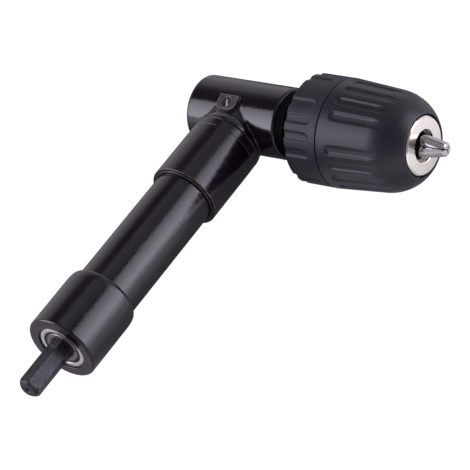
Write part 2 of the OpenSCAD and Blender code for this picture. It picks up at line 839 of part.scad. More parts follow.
// Output spindle: stepped bar with wrench hexagon and mounting thread
module output_spindle() {
    color(steel_color) along_output() difference() {
        union() {
            turned([
                [0, -rear_bearing_end], [rear_bore / 2, -rear_bearing_end],
                [rear_bore / 2, toe_face], [gear_seat_d / 2, toe_face],
                [gear_seat_d / 2, gear_mount], [front_bore / 2, gear_mount],
                [front_bore / 2, front_bearing_end + end_play],
                [spindle_collar_d / 2, front_bearing_end + end_play],
                [spindle_collar_d / 2, spindle_hex_end], [thread_d / 2, spindle_hex_end],
                [thread_d / 2, thread_end], [0, thread_end]
            ]);
            translate([0, 0, spindle_hex_at])
                cylinder(r = spindle_hex_af / 2 / cos(30), h = spindle_hex_t, $fn = 6);
        }
        bar(lock_screw_d + 2 * seat_fit, spindle_hex_end, thread_end + cut);
        cross_bar(cross_pin_d + 2 * seat_fit, 2 * gear_seat_d, pin_at);
    }
}

// Bevel gear on the spindle, one tooth towards the pinion
module bevel_gear() {
    color(steel_color) along_output()
        output_turn(0) gear(0, gear_seat_d, 90);
}
module gear_pin() {
    color(steel_color) along_output() output_turn(0) rotate([0, 0, 90])
        cross_bar(cross_pin_d, gear_hub_d - 2 * seat_fit, pin_at);
}

// Placing for one jaw: local z runs along its bore towards the tip
module jaw_axis(index) {
    along_output() output_turn(jaw_turn + 120 * index)
        translate([0, 0, jaw_cross_at]) rotate([0, -jaw_tilt, 0]) children();
}

// Chuck body: wide rear, nut groove, front, spigot, and three jaw bores
module chuck_body() {
    bore_r = thread_d / 2 + seat_fit;
    color(steel_color) difference() {
        along_output() turned([
            [bore_r, hub_start], [rear_hub_d / 2, hub_start],
            [rear_hub_d / 2, body_start], [body_d / 2, body_start],
            [body_d / 2, groove_start], [groove_d / 2, groove_start],
            [groove_d / 2, groove_end], [body_front_d / 2, groove_end],
            [body_front_d / 2, body_front_end], [nose_spigot_d / 2, body_front_end],
            [nose_spigot_d / 2, nose_spigot_end], [tool_bore_d / 2, nose_spigot_end],
            [tool_bore_d / 2, lock_web_end],
            [lock_screw_d / 2 + seat_fit, lock_web_end],
            [lock_screw_d / 2 + seat_fit, lock_web], [bore_r, lock_web]
        ]);
        for (index = [0:2])
            jaw_axis(index)
                bar(jaw_d + 2 * jaw_fit, -jaw_back - jaw_travel - jaw_fit,
                    (nose_face - jaw_cross_at) / cos(jaw_tilt));
    }
}

// Cutter for one flute: a bullet with its round end at z = 0
module flute_cutter(length) {
    turned(concat(
        [[0, length], [0, 0]],
        [for (a = [30, 60, 90]) [cutter_r * sin(a), cutter_r * (1 - cos(a)) / 2]],
        [[cutter_r, length]]
    ));
}

// Rear sleeve: cup pressed on the body, flutes open to the rear
module chuck_rear_sleeve() {
    outer_r = chuck_d / 2;
    edge = flute_depth;
    color(plastic_color) along_output() difference() {
        turned([
            [rear_hub_d / 2 + seat_fit, rear_face], [outer_r - edge, rear_face],
            [outer_r, rear_face + edge], [outer_r, seam_at],
            [body_d / 2 + seat_fit, seam_at], [body_d / 2 + seat_fit, body_start - end_play],
            [rear_hub_d / 2 + seat_fit, body_start - end_play]
        ]);
        for (k = [0:flute_places - 1])
            if (k % flute_group != 0)
                output_turn(rear_plain_turn + 360 * k / flute_places)
                    translate([
                        outer_r + cutter_r - flute_depth, 0,
                        seam_at - rear_flute_margin
                    ])
                        rotate([180, 0, 0]) flute_cutter(rear_sleeve_len);
    }
}

// Left-hand screw that locks the chuck to the spindle
module chuck_lock_screw() {
    slot_w = lock_head_d / 6;
    head_end = lock_web_end + end_play + lock_head_t;
    color(dark_steel_color) along_output() difference() {
        turned([
            [0, spindle_hex_end + end_play], [lock_screw_d / 2, spindle_hex_end + end_play],
            [lock_screw_d / 2, lock_web_end + end_play],
            [lock_head_d / 2, lock_web_end + end_play],
            [lock_head_d / 2, head_end], [0, head_end]
        ]);
        for (turn = [0, 90])
            rotate([0, 0, turn])
                translate([-lock_head_d / 3, -slot_w / 2, head_end - lock_head_t / 2])
                    cube([lock_head_d / 1.5, slot_w, lock_head_t]);
    }
}

// Bright ring pressed on the body's spigot
module nose_ring() {
    outer_r = nose_ring_d / 2;
    spigot_r = nose_spigot_d / 2 + seat_fit;
    inner_r = nose_hole_d / 2;
    color("gainsboro") along_output() turned([
        [spigot_r, body_front_end + end_play], [outer_r, body_front_end + end_play],
        [outer_r, nose_face - nose_chamfer], [outer_r - nose_chamfer, nose_face],
        [inner_r + nose_chamfer / 2, nose_face], [inner_r, nose_face - nose_chamfer / 2],
        [inner_r, nose_spigot_end + end_play], [spigot_r, nose_spigot_end + end_play]
    ]);
}

// Front sleeve: tapered grip with a round nose, over the nut
module chuck_front_sleeve() {
    outer_r = chuck_d / 2;
    edge = flute_depth / 2;
    rear_bore = body_d / 2 + run_gap;
    nut_bore = band_d / 2 + seat_fit;
    front_bore_r = body_front_d / 2 + run_gap;
    color(plastic_color) along_output() difference() {
        turned(concat(
            [
                [rear_bore, front_start], [outer_r - edge, front_start],
                [outer_r, front_start + edge]
            ],
            [for (p = arc(round_centre_r, round_centre_at, nose_round_r,
                taper_angle, round_end_angle, 8)) p],
            [
                [front_bore_r, sleeve_end], [front_bore_r, nut_end + run_gap],
                [nut_bore, nut_end + run_gap], [nut_bore, groove_start + run_gap],
                [rear_bore, groove_start + run_gap]
            ]
        ));
        for (k = [0:flute_places - 1])
            if (k % flute_group != 0)
                output_turn(front_plain_turn + 360 * k / flute_places)
                    translate([
                        outer_r + cutter_r - flute_depth
                            - front_flute_margin * tan(taper_angle), 0,
                        front_start + front_flute_margin
                    ])
                        rotate([0, -taper_angle, 0]) flute_cutter(front_flute_len);
    }
}

// Half of the split nut, whose cone clears the jaws' outer line
module nut_half(side) {
    outer_r = (nut_d - nut_split) / 2;
    color(dark_steel_color) along_output() output_turn(jaw_turn)
        translate([side * nut_split / 2, 0, 0]) intersection() {
            turned([
                [jaw_line(nut_at) + 2 * jaw_fit, nut_at], [outer_r, nut_at],
                [outer_r, nut_end], [jaw_line(nut_end) + 2 * jaw_fit, nut_end]
            ]);
            translate([side * nut_d / 2, 0, nut_at])
                cube([nut_d, 2 * nut_d, 2 * groove_len], center = true);
        }
}
module split_nut_near_half() {
    nut_half(-1);
}
module split_nut_far_half() {
    nut_half(1);
}

// Steel band round the nut, pressed into the front sleeve
module nut_band() {
    color(dark_steel_color) along_output()
        ring(band_d, nut_d + 2 * seat_fit, band_at, nut_end);
}

// Thrust washer, balls and cage behind the nut
module thrust_washer() {
    color(steel_color) along_output()
        ring(washer_d, washer_bore_d, washer_at, washer_at + washer_t);
}
module thrust_balls() {
    color(steel_color) along_output()
        ball_row(thrust_pitch_r, thrust_ball_d, thrust_count, thrust_at);
}
module thrust_cage() {
    width = thrust_ball_d / 2;
    color("goldenrod") along_output() difference() {
        ring(2 * thrust_pitch_r + 1.6 * thrust_ball_d,
            2 * thrust_pitch_r - 1.6 * thrust_ball_d,
            thrust_at - width / 2, thrust_at + width / 2);
        for (k = [0:thrust_count - 1])
            rotate([0, 0, 360 * k / thrust_count]) translate([thrust_pitch_r, 0, 0])
                bar(thrust_ball_d + 2 * ball_fit, thrust_at - width, thrust_at + width);
    }
}

// One jaw: inclined bar cut to a third of a turn about the chuck's axis
module jaw(index) {
    apex = jaw_split / 2 / sin(60);
    side = chuck_d;
    color("gainsboro") difference() {
        intersection() {
            jaw_axis(index) bar(jaw_d, -jaw_back, jaw_out);
            along_output() output_turn(jaw_turn + 120 * index)
                translate([0, 0, body_start])
                    linear_extrude(tip_at - body_start)
                        polygon([
                            [apex, 0], [apex + side * cos(60), side * sin(60)],
                            [apex + side * cos(60), -side * sin(60)]
                        ]);
        }
        along_output() output_turn(jaw_turn + 120 * index) translate([apex, 0, 0])
            turned([
                [jaw_tip_d / 2 - jaw_chamfer, tip_at + end_play],
                [jaw_tip_d, tip_at - jaw_tip_d / 2 - jaw_chamfer],
                [jaw_tip_d, tip_at + end_play]
            ]);
    }
}
module jaw_1() {
    jaw(0);
}
module jaw_2() {
    jaw(1);
}
module jaw_3() {
    jaw(2);
}

head_casting();
rear_cap();
grease_plug();
front_ring();
oil_seal();
lock_ring();
neck_sleeve();
handle_tube();
end_collar();
end_bearing_outer();
end_bearing_seal();
end_bearing_inner();
end_bearing_cage();
end_bearing_balls();
pinion_bearing_outer();
pinion_bearing_inner();
pinion_bearing_cage();
pinion_bearing_balls();
front_bearing_outer();
front_bearing_inner();
front_bearing_cage();
front_bearing_balls();
rear_bearing_outer();
rear_bearing_inner();
rear_bearing_cage();
rear_bearing_balls();
input_shaft();
shaft_circlip();
bevel_pinion();
pinion_pin();
output_spindle();
bevel_gear();
gear_pin();
chuck_body();
chuck_rear_sleeve();
chuck_lock_screw();
nose_ring();
chuck_front_sleeve();
split_nut_near_half();
split_nut_far_half();
nut_band();
thrust_washer();
thrust_balls();
thrust_cage();
jaw_1();
jaw_2();
jaw_3();
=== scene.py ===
"""Right angle drill attachment: turned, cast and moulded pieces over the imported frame."""

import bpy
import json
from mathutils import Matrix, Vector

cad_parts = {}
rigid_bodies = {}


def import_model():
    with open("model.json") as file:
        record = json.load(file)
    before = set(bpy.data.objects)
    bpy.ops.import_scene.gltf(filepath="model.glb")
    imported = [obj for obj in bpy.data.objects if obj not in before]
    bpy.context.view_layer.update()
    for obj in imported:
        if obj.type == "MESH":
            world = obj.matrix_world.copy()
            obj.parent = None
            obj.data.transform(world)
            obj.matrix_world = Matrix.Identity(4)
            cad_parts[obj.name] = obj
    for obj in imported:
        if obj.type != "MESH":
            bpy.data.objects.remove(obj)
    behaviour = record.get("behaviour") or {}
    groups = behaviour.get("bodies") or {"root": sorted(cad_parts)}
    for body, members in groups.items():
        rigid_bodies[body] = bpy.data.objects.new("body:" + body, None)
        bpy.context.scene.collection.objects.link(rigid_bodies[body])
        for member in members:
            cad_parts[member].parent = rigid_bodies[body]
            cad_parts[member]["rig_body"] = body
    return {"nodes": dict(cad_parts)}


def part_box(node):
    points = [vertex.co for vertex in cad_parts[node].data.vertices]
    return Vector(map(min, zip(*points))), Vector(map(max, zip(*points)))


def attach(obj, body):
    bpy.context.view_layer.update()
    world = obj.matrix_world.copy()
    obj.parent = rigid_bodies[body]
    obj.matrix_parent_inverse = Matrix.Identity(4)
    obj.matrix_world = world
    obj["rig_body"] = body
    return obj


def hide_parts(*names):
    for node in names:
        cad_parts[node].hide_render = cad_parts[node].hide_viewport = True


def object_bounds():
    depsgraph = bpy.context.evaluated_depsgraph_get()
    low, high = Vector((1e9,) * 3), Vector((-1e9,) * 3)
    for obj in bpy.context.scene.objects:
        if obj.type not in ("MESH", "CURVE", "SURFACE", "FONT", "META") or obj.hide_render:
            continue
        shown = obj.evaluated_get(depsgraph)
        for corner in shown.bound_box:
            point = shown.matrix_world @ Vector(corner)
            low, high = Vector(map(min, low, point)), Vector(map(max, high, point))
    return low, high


bl_info = {
    "name": "Right angle drill attachment",
    "version": (1, 0, 0),
    "blender": (4, 5, 0),
    "location": "View3D > Sidebar > Attachment",
    "description": "Makes the turned, cast and moulded pieces of a right angle drill attachment",
    "category": "Add Mesh",
}

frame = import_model()
cad_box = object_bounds()

import json
import math

import bmesh
import bpy
import numpy as np
from bpy.props import FloatProperty, FloatVectorProperty, IntProperty, PointerProperty
from bpy.types import Operator, Panel, PropertyGroup
from mathutils import Matrix, Vector

NODES = frame["nodes"]
MM = 0.001
REACH = 0.128  # from the collar's end face to where the two axes cross

# Lathe frames: the turning axis is local z, measured from the crossing of the axes.
HANDLE = Matrix(((1, 0, 0, 0), (0, 0, -1, REACH), (0, 1, 0, 0), (0, 0, 0, 1)))
OUTPUT = Matrix(((0, 0, 1, 0), (-1, 0, 0, REACH), (0, -1, 0, 0), (0, 0, 0, 1)))
SHANK_AXIS = ((0, 0, 0), (0, 1, 0))
CHUCK_AXIS = ((0, REACH, 0), (1, 0, 0))
JAW_GAP_TURN = math.radians(17)  # of one gap between the closed jaws, from +Y towards +Z

ORIGIN = (0.0, 0.0, 0.0)
BLACK, WHITE = (0, 0, 0, 1), (1, 1, 1, 1)
# grease with painted shade: darkens the jaws in their gaps and by the nose ring's bore
GREASE_AND_SHADE = (0.012, 0.011, 0.011, 1)
DUST = (0.045, 0.043, 0.047, 1)
PRIMER = (0.35, 0.29, 0.255, 1)  # under the paint, where an edge is rubbed


# ---- node trees

def arithmetic(operation, swapped=False):
    def method(self, other):
        return self.w.math(operation, *((other, self) if swapped else (self, other)))
    return method


class Value:
    """An output in a node tree, which takes part in plain arithmetic."""

    def __init__(self, w, outputs, key=0):
        self.w, self.outputs, self.key = w, outputs, key

    __add__, __mul__ = arithmetic("ADD"), arithmetic("MULTIPLY")
    __sub__, __rsub__ = arithmetic("SUBTRACT"), arithmetic("SUBTRACT", swapped=True)
    __truediv__, __rtruediv__ = arithmetic("DIVIDE"), arithmetic("DIVIDE", swapped=True)


class Wiring:
    """Short calls for building a node tree."""

    def __init__(self, tree):
        self.tree, self.position = tree, None

    def feed(self, node, values):
        """Links or sets inputs of a node, given by name or number."""
        for key, value in values.items():
            if isinstance(value, Value):
                self.tree.links.new(value.outputs[value.key], node.inputs[key])
            else:
                node.inputs[key].default_value = value
        return node

    def node(self, kind, values=None, **settings):
        node = self.tree.nodes.new(kind)
        for key, value in settings.items():
            setattr(node, key, value)
        return self.feed(node, values or {})

    def get(self, kind, values=None, out=0, **settings):
        """One output of a new node."""
        return Value(self, self.node(kind, values, **settings).outputs, out)

    def first(self, kind):
        return next(node for node in self.tree.nodes if node.type == kind)

    def use(self, shared, **values):
        """The outputs of a shared effect by name, with its inputs given by name."""
        node = self.node("ShaderNodeGroup", node_tree=SHARED[shared])
        self.feed(node, {"Position": self.position})
        self.feed(node, {label(key): value for key, value in values.items()})
        return {name: Value(self, node.outputs, name) for name in node.outputs.keys()}

    def math(self, operation, *values, clamp=False):
        return self.get("ShaderNodeMath", dict(enumerate(values)), operation=operation,
                        use_clamp=clamp)

    def vector(self, operation, *values, out=0):
        return self.get("ShaderNodeVectorMath", dict(enumerate(values)), out,
                        operation=operation)

    def length(self, a, b):
        return self.math("SQRT", a * a + b * b)

    def split(self, vector):
        outputs = self.node("ShaderNodeSeparateXYZ", {0: vector}).outputs
        return [Value(self, outputs, k) for k in range(3)]

    def join(self, x=0.0, y=0.0, z=0.0):
        return self.get("ShaderNodeCombineXYZ", {0: x, 1: y, 2: z})

    def ramp(self, value, low, high, to_low=0.0, to_high=1.0):
        """A smooth step from one level to the other as the value goes from low to high."""
        return self.get("ShaderNodeMapRange", {
            "Value": value, "From Min": low, "From Max": high, "To Min": to_low,
            "To Max": to_high}, "Result", interpolation_type="SMOOTHSTEP")

    def spread(self, share, low, high):
        return self.ramp(share, 0.0, 1.0, low, high)

    def blend(self, share, first, second):
        return self.get("ShaderNodeMix", {"Factor": share, 6: first, 7: second}, 2,
                        data_type="RGBA")

    def shades(self, share, colour, low, high):
        """A colour between two strengths of itself."""
        return self.blend(share, rgba(colour, low), rgba(colour, high))

    def noise(self, position, size, detail=2.0):
        return self.get("ShaderNodeTexNoise", {
            "Vector": position, "Scale": 1.0 / size, "Detail": detail})

    def mark(self, name):
        """What the mesh itself says of each place."""
        return self.get("ShaderNodeAttribute", out="Fac", attribute_name=name)

    def bump(self, height, depth, strength):
        return self.get("ShaderNodeBump", {
            "Strength": strength, "Distance": depth, "Height": height})


def label(key):
    return key.replace("_", " ").title()


def rgba(colour, strength):
    return tuple(c * strength for c in colour[:3]) + (1.0,)


def new_group(name, kind, inputs, *outputs):
    """A node group with named outputs, and named inputs given with a default or a kind."""
    kinds = {tuple: "Vector", int: "Int", float: "Float"}
    tree = bpy.data.node_groups.new(name, kind)
    for title, default in inputs.items():
        socket = tree.interface.new_socket(
            title, in_out="INPUT", socket_type="NodeSocket" + kinds.get(type(default), default))
        if type(default) in kinds:
            socket.default_value = default
    result = "NodeSocketFloat" if kind == "ShaderNodeTree" else "NodeSocketGeometry"
    for title in outputs:
        tree.interface.new_socket(title, in_out="OUTPUT", socket_type=result)
    w = Wiring(tree)
    sockets = w.node("NodeGroupInput").outputs
    given = {title: Value(w, sockets, title) for title in inputs}
    return w, given, w.node("NodeGroupOutput")


def mottle_group():
    """Cloudy variation and a fine grain, for paint, moulded plastic and rubber."""
    w, given, result = new_group(
        "Mottle", "ShaderNodeTree",
        {"Position": ORIGIN, "Cloud Size": 0.01, "Grain Size": 0.0004}, "Cloud", "Grain")
    for out, detail in (("Cloud", 3.0), ("Grain", 2.0)):
        noise = w.noise(given["Position"], given[out + " Size"], detail)
        w.feed(result, {out: w.ramp(noise, 0.3, 0.7)})
    return w.tree


def turned_group():
    """Marks that a lathe leaves: rings about an axis, finer and coarser ones together."""
    w, given, result = new_group(
        "Turned Marks", "ShaderNodeTree",
        {"Position": ORIGIN, "Origin": ORIGIN, "Axis": (0.0, 1.0, 0.0), "Spacing": 0.0002},
        "Rings", "Height")
    from_origin = w.vector("SUBTRACT", given["Position"], given["Origin"])
    along = w.vector("DOT_PRODUCT", from_origin, given["Axis"], out=1)
    on_axis = w.get("ShaderNodeVectorMath", {0: given["Axis"], "Scale": along},
                    operation="SCALE")
    radius = w.vector("LENGTH", w.vector("SUBTRACT", from_origin, on_axis), out=1)
    turns = (along + radius) / given["Spacing"]
    fine, coarse = (w.get("ShaderNodeTexNoise", {
        "W": turns * stretch, "Scale": 1.0, "Detail": 1.0}, noise_dimensions="1D")
        for stretch in (1.0, 0.23))
    height = (fine + coarse) * 0.5
    w.feed(result, {"Rings": w.ramp(height, 0.35, 0.65), "Height": height})
    return w.tree


def wear_group():
    """Rubbed edges: the mesh's own edge mark, broken up by noise."""
    w, given, result = new_group(
        "Edge Wear", "ShaderNodeTree",
        {"Position": ORIGIN, "Amount": 0.5, "Patch Size": 0.002}, "Worn")
    patches = w.ramp(w.noise(given["Position"], given["Patch Size"], 4.0), 0.4, 0.66)
    rubbed = w.ramp(w.mark("edge"), 0.55, 1.0) * w.spread(patches, 0.35, 1.0)
    w.feed(result, {"Worn": w.math("MULTIPLY", rubbed, given["Amount"], clamp=True)})
    return w.tree


def grease_and_shade_group():
    """Grease and painted shade on the jaws: darker in the gaps between them and by the nose
    ring's bore.
    """
    w, given, result = new_group(
        "Jaw Grease And Shade", "ShaderNodeTree",
        {"Position": ORIGIN, "Turn": 0.0, "Width": 0.0003, "Ring Face": 0.082}, "Grease And Shade")
    x, y, z = w.split(w.vector("SUBTRACT", given["Position"], CHUCK_AXIS[0]))
    third = 2 * math.pi / 3
    turn = w.math("ARCTAN2", z, y) - given["Turn"] + third / 2
    off = w.math("FLOORED_MODULO", turn, third) - third / 2
    distance = w.length(y, z) * w.math("ABSOLUTE", w.math("SINE", off))
    # painted shade with grease in the crease between two jaws, and a painted shadow where the
    # jaws go into the nose ring's bore
    gap = w.ramp(distance, given["Width"] * 0.4, given["Width"], 1.0, 0.0)
    inside = w.ramp(x, given["Ring Face"], given["Ring Face"] + 0.003, 0.7, 0.0)
    w.feed(result, {"Grease And Shade": w.math("MAXIMUM", gap, inside)})
    return w.tree


# ---- finishes

SHARED = {}
FINISHES = {}


def start_material(name):
    material = bpy.data.materials.new(name)
    material.use_nodes = True
    w = Wiring(material.node_tree)
    w.position = w.get("ShaderNodeTexCoord", out="Object")
    return material, w, w.first("BSDF_PRINCIPLED")


def painted(name, colour, roughness, cast=0.0):
    """Glossy paint with an orange peel, rubbed along the edges. Where the mesh says so, and
    cast gives how much, it lies over a rough cast face."""
    material, w, surface = start_material(name)
    mottle = w.use("mottle", cloud_size=0.009, grain_size=0.0011)
    fine = w.use("mottle", cloud_size=0.0023, grain_size=0.00016)
    worn = w.use("wear", amount=0.35, patch_size=0.0016)["Worn"]
    paint = w.shades(mottle["Cloud"], colour, 0.86, 1.16)
    dull = w.spread(mottle["Cloud"], roughness * 0.88, roughness * 1.14)
    dull = dull * w.spread(mottle["Grain"], 0.8, 1.25) + worn * 0.2
    height = mottle["Grain"] * 0.8 + fine["Grain"] * 0.12
    if cast:
        rough = w.mark("cast")
        grit = w.use("mottle", cloud_size=0.0012, grain_size=0.0005)
        dull = dull + rough * 0.3
        height = height + rough * grit["Grain"] * cast
        paint = w.blend(rough * w.spread(grit["Cloud"], 0.25, 1.0), paint, DUST)
    w.feed(surface, {
        "Base Color": w.blend(worn, paint, PRIMER), "Roughness": dull, "IOR": 1.5,
        "Specular Tint": (0.975, 0.962, 1.0, 1), "Normal": w.bump(height, 0.00001, 1.3)})
    return material


def moulded(name, colour, roughness, wear=0.3, gloss=0.5):
    """Matt moulded plastic with a fine spark grain and polished, slightly rubbed edges."""
    material, w, surface = start_material(name)
    mottle = w.use("mottle", cloud_size=0.012, grain_size=0.00028)
    worn = w.use("wear", amount=wear, patch_size=0.0022)["Worn"]
    body = w.shades(mottle["Cloud"], colour, 0.88, 1.12)
    body = w.blend(mottle["Grain"] * 0.25, body, rgba(colour, 1.4))
    dull = w.spread(mottle["Grain"], roughness * 0.92, roughness * 1.1)
    w.feed(surface, {
        "Base Color": w.blend(worn, body, rgba(colour, 2.2)), "Roughness": dull - worn * 0.12,
        "IOR": 1.5, "Specular IOR Level": gloss,
        "Normal": w.bump(mottle["Grain"], 0.00002, 0.5)})
    return material


def turned_metal(name, colour, roughness, axis, spacing, marks=0.25, greased_and_shaded=False):
    """Metal as it leaves the lathe or grinder, with rings about the axis, and darkened
    with grease and painted shade in the jaws' gaps and by the nose ring where asked."""
    material, w, surface = start_material(name)
    rings = w.use("turned", origin=axis[0], axis=axis[1], spacing=spacing)
    cloud = w.use("mottle", cloud_size=0.006, grain_size=0.0003)["Cloud"]
    worn = w.use("wear", amount=0.2, patch_size=0.0012)["Worn"]
    metal = w.shades(rings["Rings"], colour, 0.9, 1.06)
    metal = w.blend(cloud * 0.4, metal, rgba(colour, 0.84))
    metal = w.blend(worn, metal, rgba(colour, 1.15))
    # grease and painted shade in the jaws' gaps and by the nose ring
    if greased_and_shaded:
        grease_and_shade = w.use("gaps", turn=JAW_GAP_TURN, width=0.00032)["Grease And Shade"]
        metal = w.blend(grease_and_shade, metal, GREASE_AND_SHADE)
    w.feed(surface, {
        "Base Color": metal, "Metallic": 1.0,
        "Roughness": w.spread(rings["Rings"], roughness * 0.85, roughness * 1.2),
        "Normal": w.bump(rings["Height"], 0.000006, marks)})
    return material


def blackened(name, colour, bare_colour, roughness):
    """Blackened steel with a blotchy skin, bright along the edges and where it is bare."""
    material, w, surface = start_material(name)
    blotch = w.use("mottle", cloud_size=0.003, grain_size=0.0009)
    worn = w.use("wear", amount=0.8, patch_size=0.0011)["Worn"]
    bare = w.mark("bare")
    skin = w.shades(blotch["Cloud"], colour, 0.55, 1.3)
    skin = w.blend(blotch["Grain"] * 0.5, skin, rgba(colour, 1.7))
    dull = w.spread(blotch["Cloud"], roughness * 0.75, roughness * 1.3)
    w.feed(surface, {
        "Base Color": w.blend(w.math("MAXIMUM", worn, bare), skin, bare_colour),
        "Roughness": dull + bare * 0.15, "Metallic": 0.8,
        "Normal": w.bump(blotch["Grain"] + blotch["Cloud"], 0.00005, 0.6)})
    return material


def make_materials():
    """The shared effects, and then each finish with its own amounts of them."""
    SHARED.update(mottle=mottle_group(), turned=turned_group(), wear=wear_group(),
                  gaps=grease_and_shade_group())
    colours = bpy.context.scene.attachment_colours
    gloss, matt = colours.paint_roughness, colours.plastic_roughness
    FINISHES.update(
        paint=painted("black_paint", colours.paint, 1.3 * gloss),
        head_paint=painted("cast_head_paint", colours.paint, gloss, cast=4.0),
        plastic=moulded("moulded_sleeve", colours.plastic, matt, gloss=0.42),
        rear_plastic=moulded("moulded_rear_sleeve", colours.plastic, 1.35 * matt, gloss=0.38),
        rubber=moulded("seal_rubber", colours.rubber, 0.62, wear=0.0),
        # matt black, made near black as painted shade of the recessed gap before the chuck
        matt_black=moulded("matt_black", colours.matt_black, 0.7, wear=0.1, gloss=0.03))
    for kind, name, colour, roughness, spacing in (
        ("steel", "bearing_steel", colours.steel, 0.3, 0.00022),
        ("brass", "cage_brass", colours.brass, 0.34, 0.00022),
        ("ground", "ground_steel", colours.ground, 0.3, 0.0004),
    ):
        for place, axis in (("_shank", SHANK_AXIS), ("_chuck", CHUCK_AXIS)):
            FINISHES[kind + place] = turned_metal(
                name + place, colour, roughness, axis, spacing)
    FINISHES.update(
        nickel=turned_metal("bright_nickel", colours.nickel, 0.2, CHUCK_AXIS, 0.00009, 0.05),
        jaw=turned_metal(
            "jaw_steel", colours.jaw, 0.16, CHUCK_AXIS, 0.0003, 0.3, greased_and_shaded=True),
        shank=blackened("blackened_steel", colours.shank, (0.36, 0.35, 0.35, 1), 0.36),
        plug=blackened("plug_steel", colours.shank, (0.85, 0.84, 0.83, 1), 0.32))


# ---- mesh making

def rounded_outline(points, ease):
    """A closed outline of (radius, along, how much of an edge) in millimetres. Its corners
    are rounded by ease, or by the third number of a point that has one."""
    steps, support = 3, 0.05
    rounding_share, side_share = 0.42, 0.48  # of a side, for a rounding and with its support
    result = []
    for i, point in enumerate(points):
        here = Vector(point[:2])
        to_last = Vector(points[i - 1][:2]) - here
        to_next = Vector(points[(i + 1) % len(points)][:2]) - here
        wanted = point[2] if len(point) > 2 else ease
        opening = to_last.angle(to_next)
        if wanted <= 0 or opening > math.radians(160) or here.x < 1e-6:
            result.append((*here, 0.0))
            continue
        slope = math.tan(opening / 2)
        reach = min(wanted / slope, rounding_share * min(to_last.length, to_next.length))
        radius = reach * slope
        first, second = to_last.normalized(), to_next.normalized()
        centre = here + (first + second).normalized() * radius / math.sin(opening / 2)
        if side_share * to_last.length > reach + support:
            result.append((*(here + first * (reach + support)), 0.0))
        start, end = here + first * reach - centre, here + second * reach - centre
        sweep = start.angle(end)
        ridge = 1.0 if radius < 0.5 else 0.4  # only a narrow edge gets rubbed
        for k in range(steps + 1):
            share = k / steps
            ray = start * math.sin((1 - share) * sweep) + end * math.sin(share * sweep)
            ray = centre + ray / math.sin(sweep)
            result.append((*ray, ridge if 0 < k < steps else 0.6 * ridge))
        if side_share * to_next.length > reach + support:
            result.append((*(here + second * (reach + support)), 0.0))
    return result


def filled_in(outline, longest, beyond):
    """Adds points so that no stretch outside the radius beyond is longer than longest."""
    result = []
    for point, after in zip(outline, outline[1:] + outline[:1]):
        result.append(point)
        if min(point[0], after[0]) > beyond:
            pieces = math.ceil(math.dist(point[:2], after[:2]) / longest)
            for k in range(1, pieces):
                share = k / pieces
                result.append(tuple(a + (b - a) * share for a, b in zip(point, after)))
    return result


def arc(centre_r, centre_along, radius, start, end, steps):
    """Outline points that stay as they are, along an arc between two angles."""
    turns = [math.radians(start + (end - start) * k / steps) for k in range(steps + 1)]
    return [(centre_r + radius * math.cos(turn), centre_along + radius * math.sin(turn), 0)
            for turn in turns]


def turned_mesh(name, outline, segments):
    """A lathe mesh about local z, in metres, from a closed outline in millimetres."""
    rings = np.array(outline)
    turn = np.arange(segments) * 2 * math.pi / segments
    radius, along = rings[:, 0, None] * MM, rings[:, 1, None] * MM
    corners = np.stack(
        [radius * np.cos(turn), radius * np.sin(turn), along + 0 * turn], axis=-1)
    here = np.arange(len(rings) * segments).reshape(-1, segments)
    beside, after = np.roll(here, -1, axis=1), np.roll(here, -1, axis=0)
    faces = np.stack([here, beside, np.roll(after, -1, axis=1), after], axis=-1)
    mesh = bpy.data.meshes.new(name)
    mesh.from_pydata(corners.reshape(-1, 3).tolist(), [], faces.reshape(-1, 4).tolist())
    put_mark(mesh, "edge", np.repeat(rings[:, 2], segments))
    close_up(mesh)
    return mesh


def put_mark(mesh, name, values, domain="POINT"):
    """Writes a number at each corner or face of the mesh, for its finish to read."""
    mesh.attributes.new(name, "FLOAT", domain).data.foreach_set("value", values.astype(float))


def merged(mesh, distance):
    work = bmesh.new()
    work.from_mesh(mesh)
    bmesh.ops.remove_doubles(work, verts=work.verts, dist=distance)
    return work


def put_back(work, mesh):
    for face in work.faces:
        face.smooth = True
        face.material_index = 0
    work.to_mesh(mesh)
    work.free()


def close_up(mesh, distance=2e-7):
    """Merges what lies together and turns every face outwards."""
    work = merged(mesh, distance)
    bmesh.ops.dissolve_degenerate(work, edges=work.edges, dist=distance)
    bmesh.ops.recalc_face_normals(work, faces=work.faces)
    put_back(work, mesh)


def new_object(name, data):
    piece = bpy.data.objects.new(name, data)
    bpy.context.scene.collection.objects.link(piece)
    return piece


def settle(piece):
    """The piece as a plain mesh with its modifiers applied."""
    ready = piece.evaluated_get(bpy.context.evaluated_depsgraph_get())
    mesh = bpy.data.meshes.new_from_object(ready)
    mesh.name = name = piece.name
    bpy.data.objects.remove(piece)
    return new_object(name, mesh)


def dress(piece, node, finish):
    """Gives the piece its finish, and puts it in the place of its CAD node."""
    piece.data.materials.clear()
    piece.data.materials.append(FINISHES[finish])
    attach(piece, NODES[node]["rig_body"])
    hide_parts(node)
    return piece


def turned_piece(name, outline, place, node, finish, slot):
    """A lathe piece about the axis of place, its corners eased as the settings say."""
    sizes = bpy.context.scene.attachment_turned
    mesh = turned_mesh(name, rounded_outline(outline, 0.15 * sizes.easing), sizes.segments)
    mesh.transform(place)
    return dress(new_object(name, mesh), node, finish)


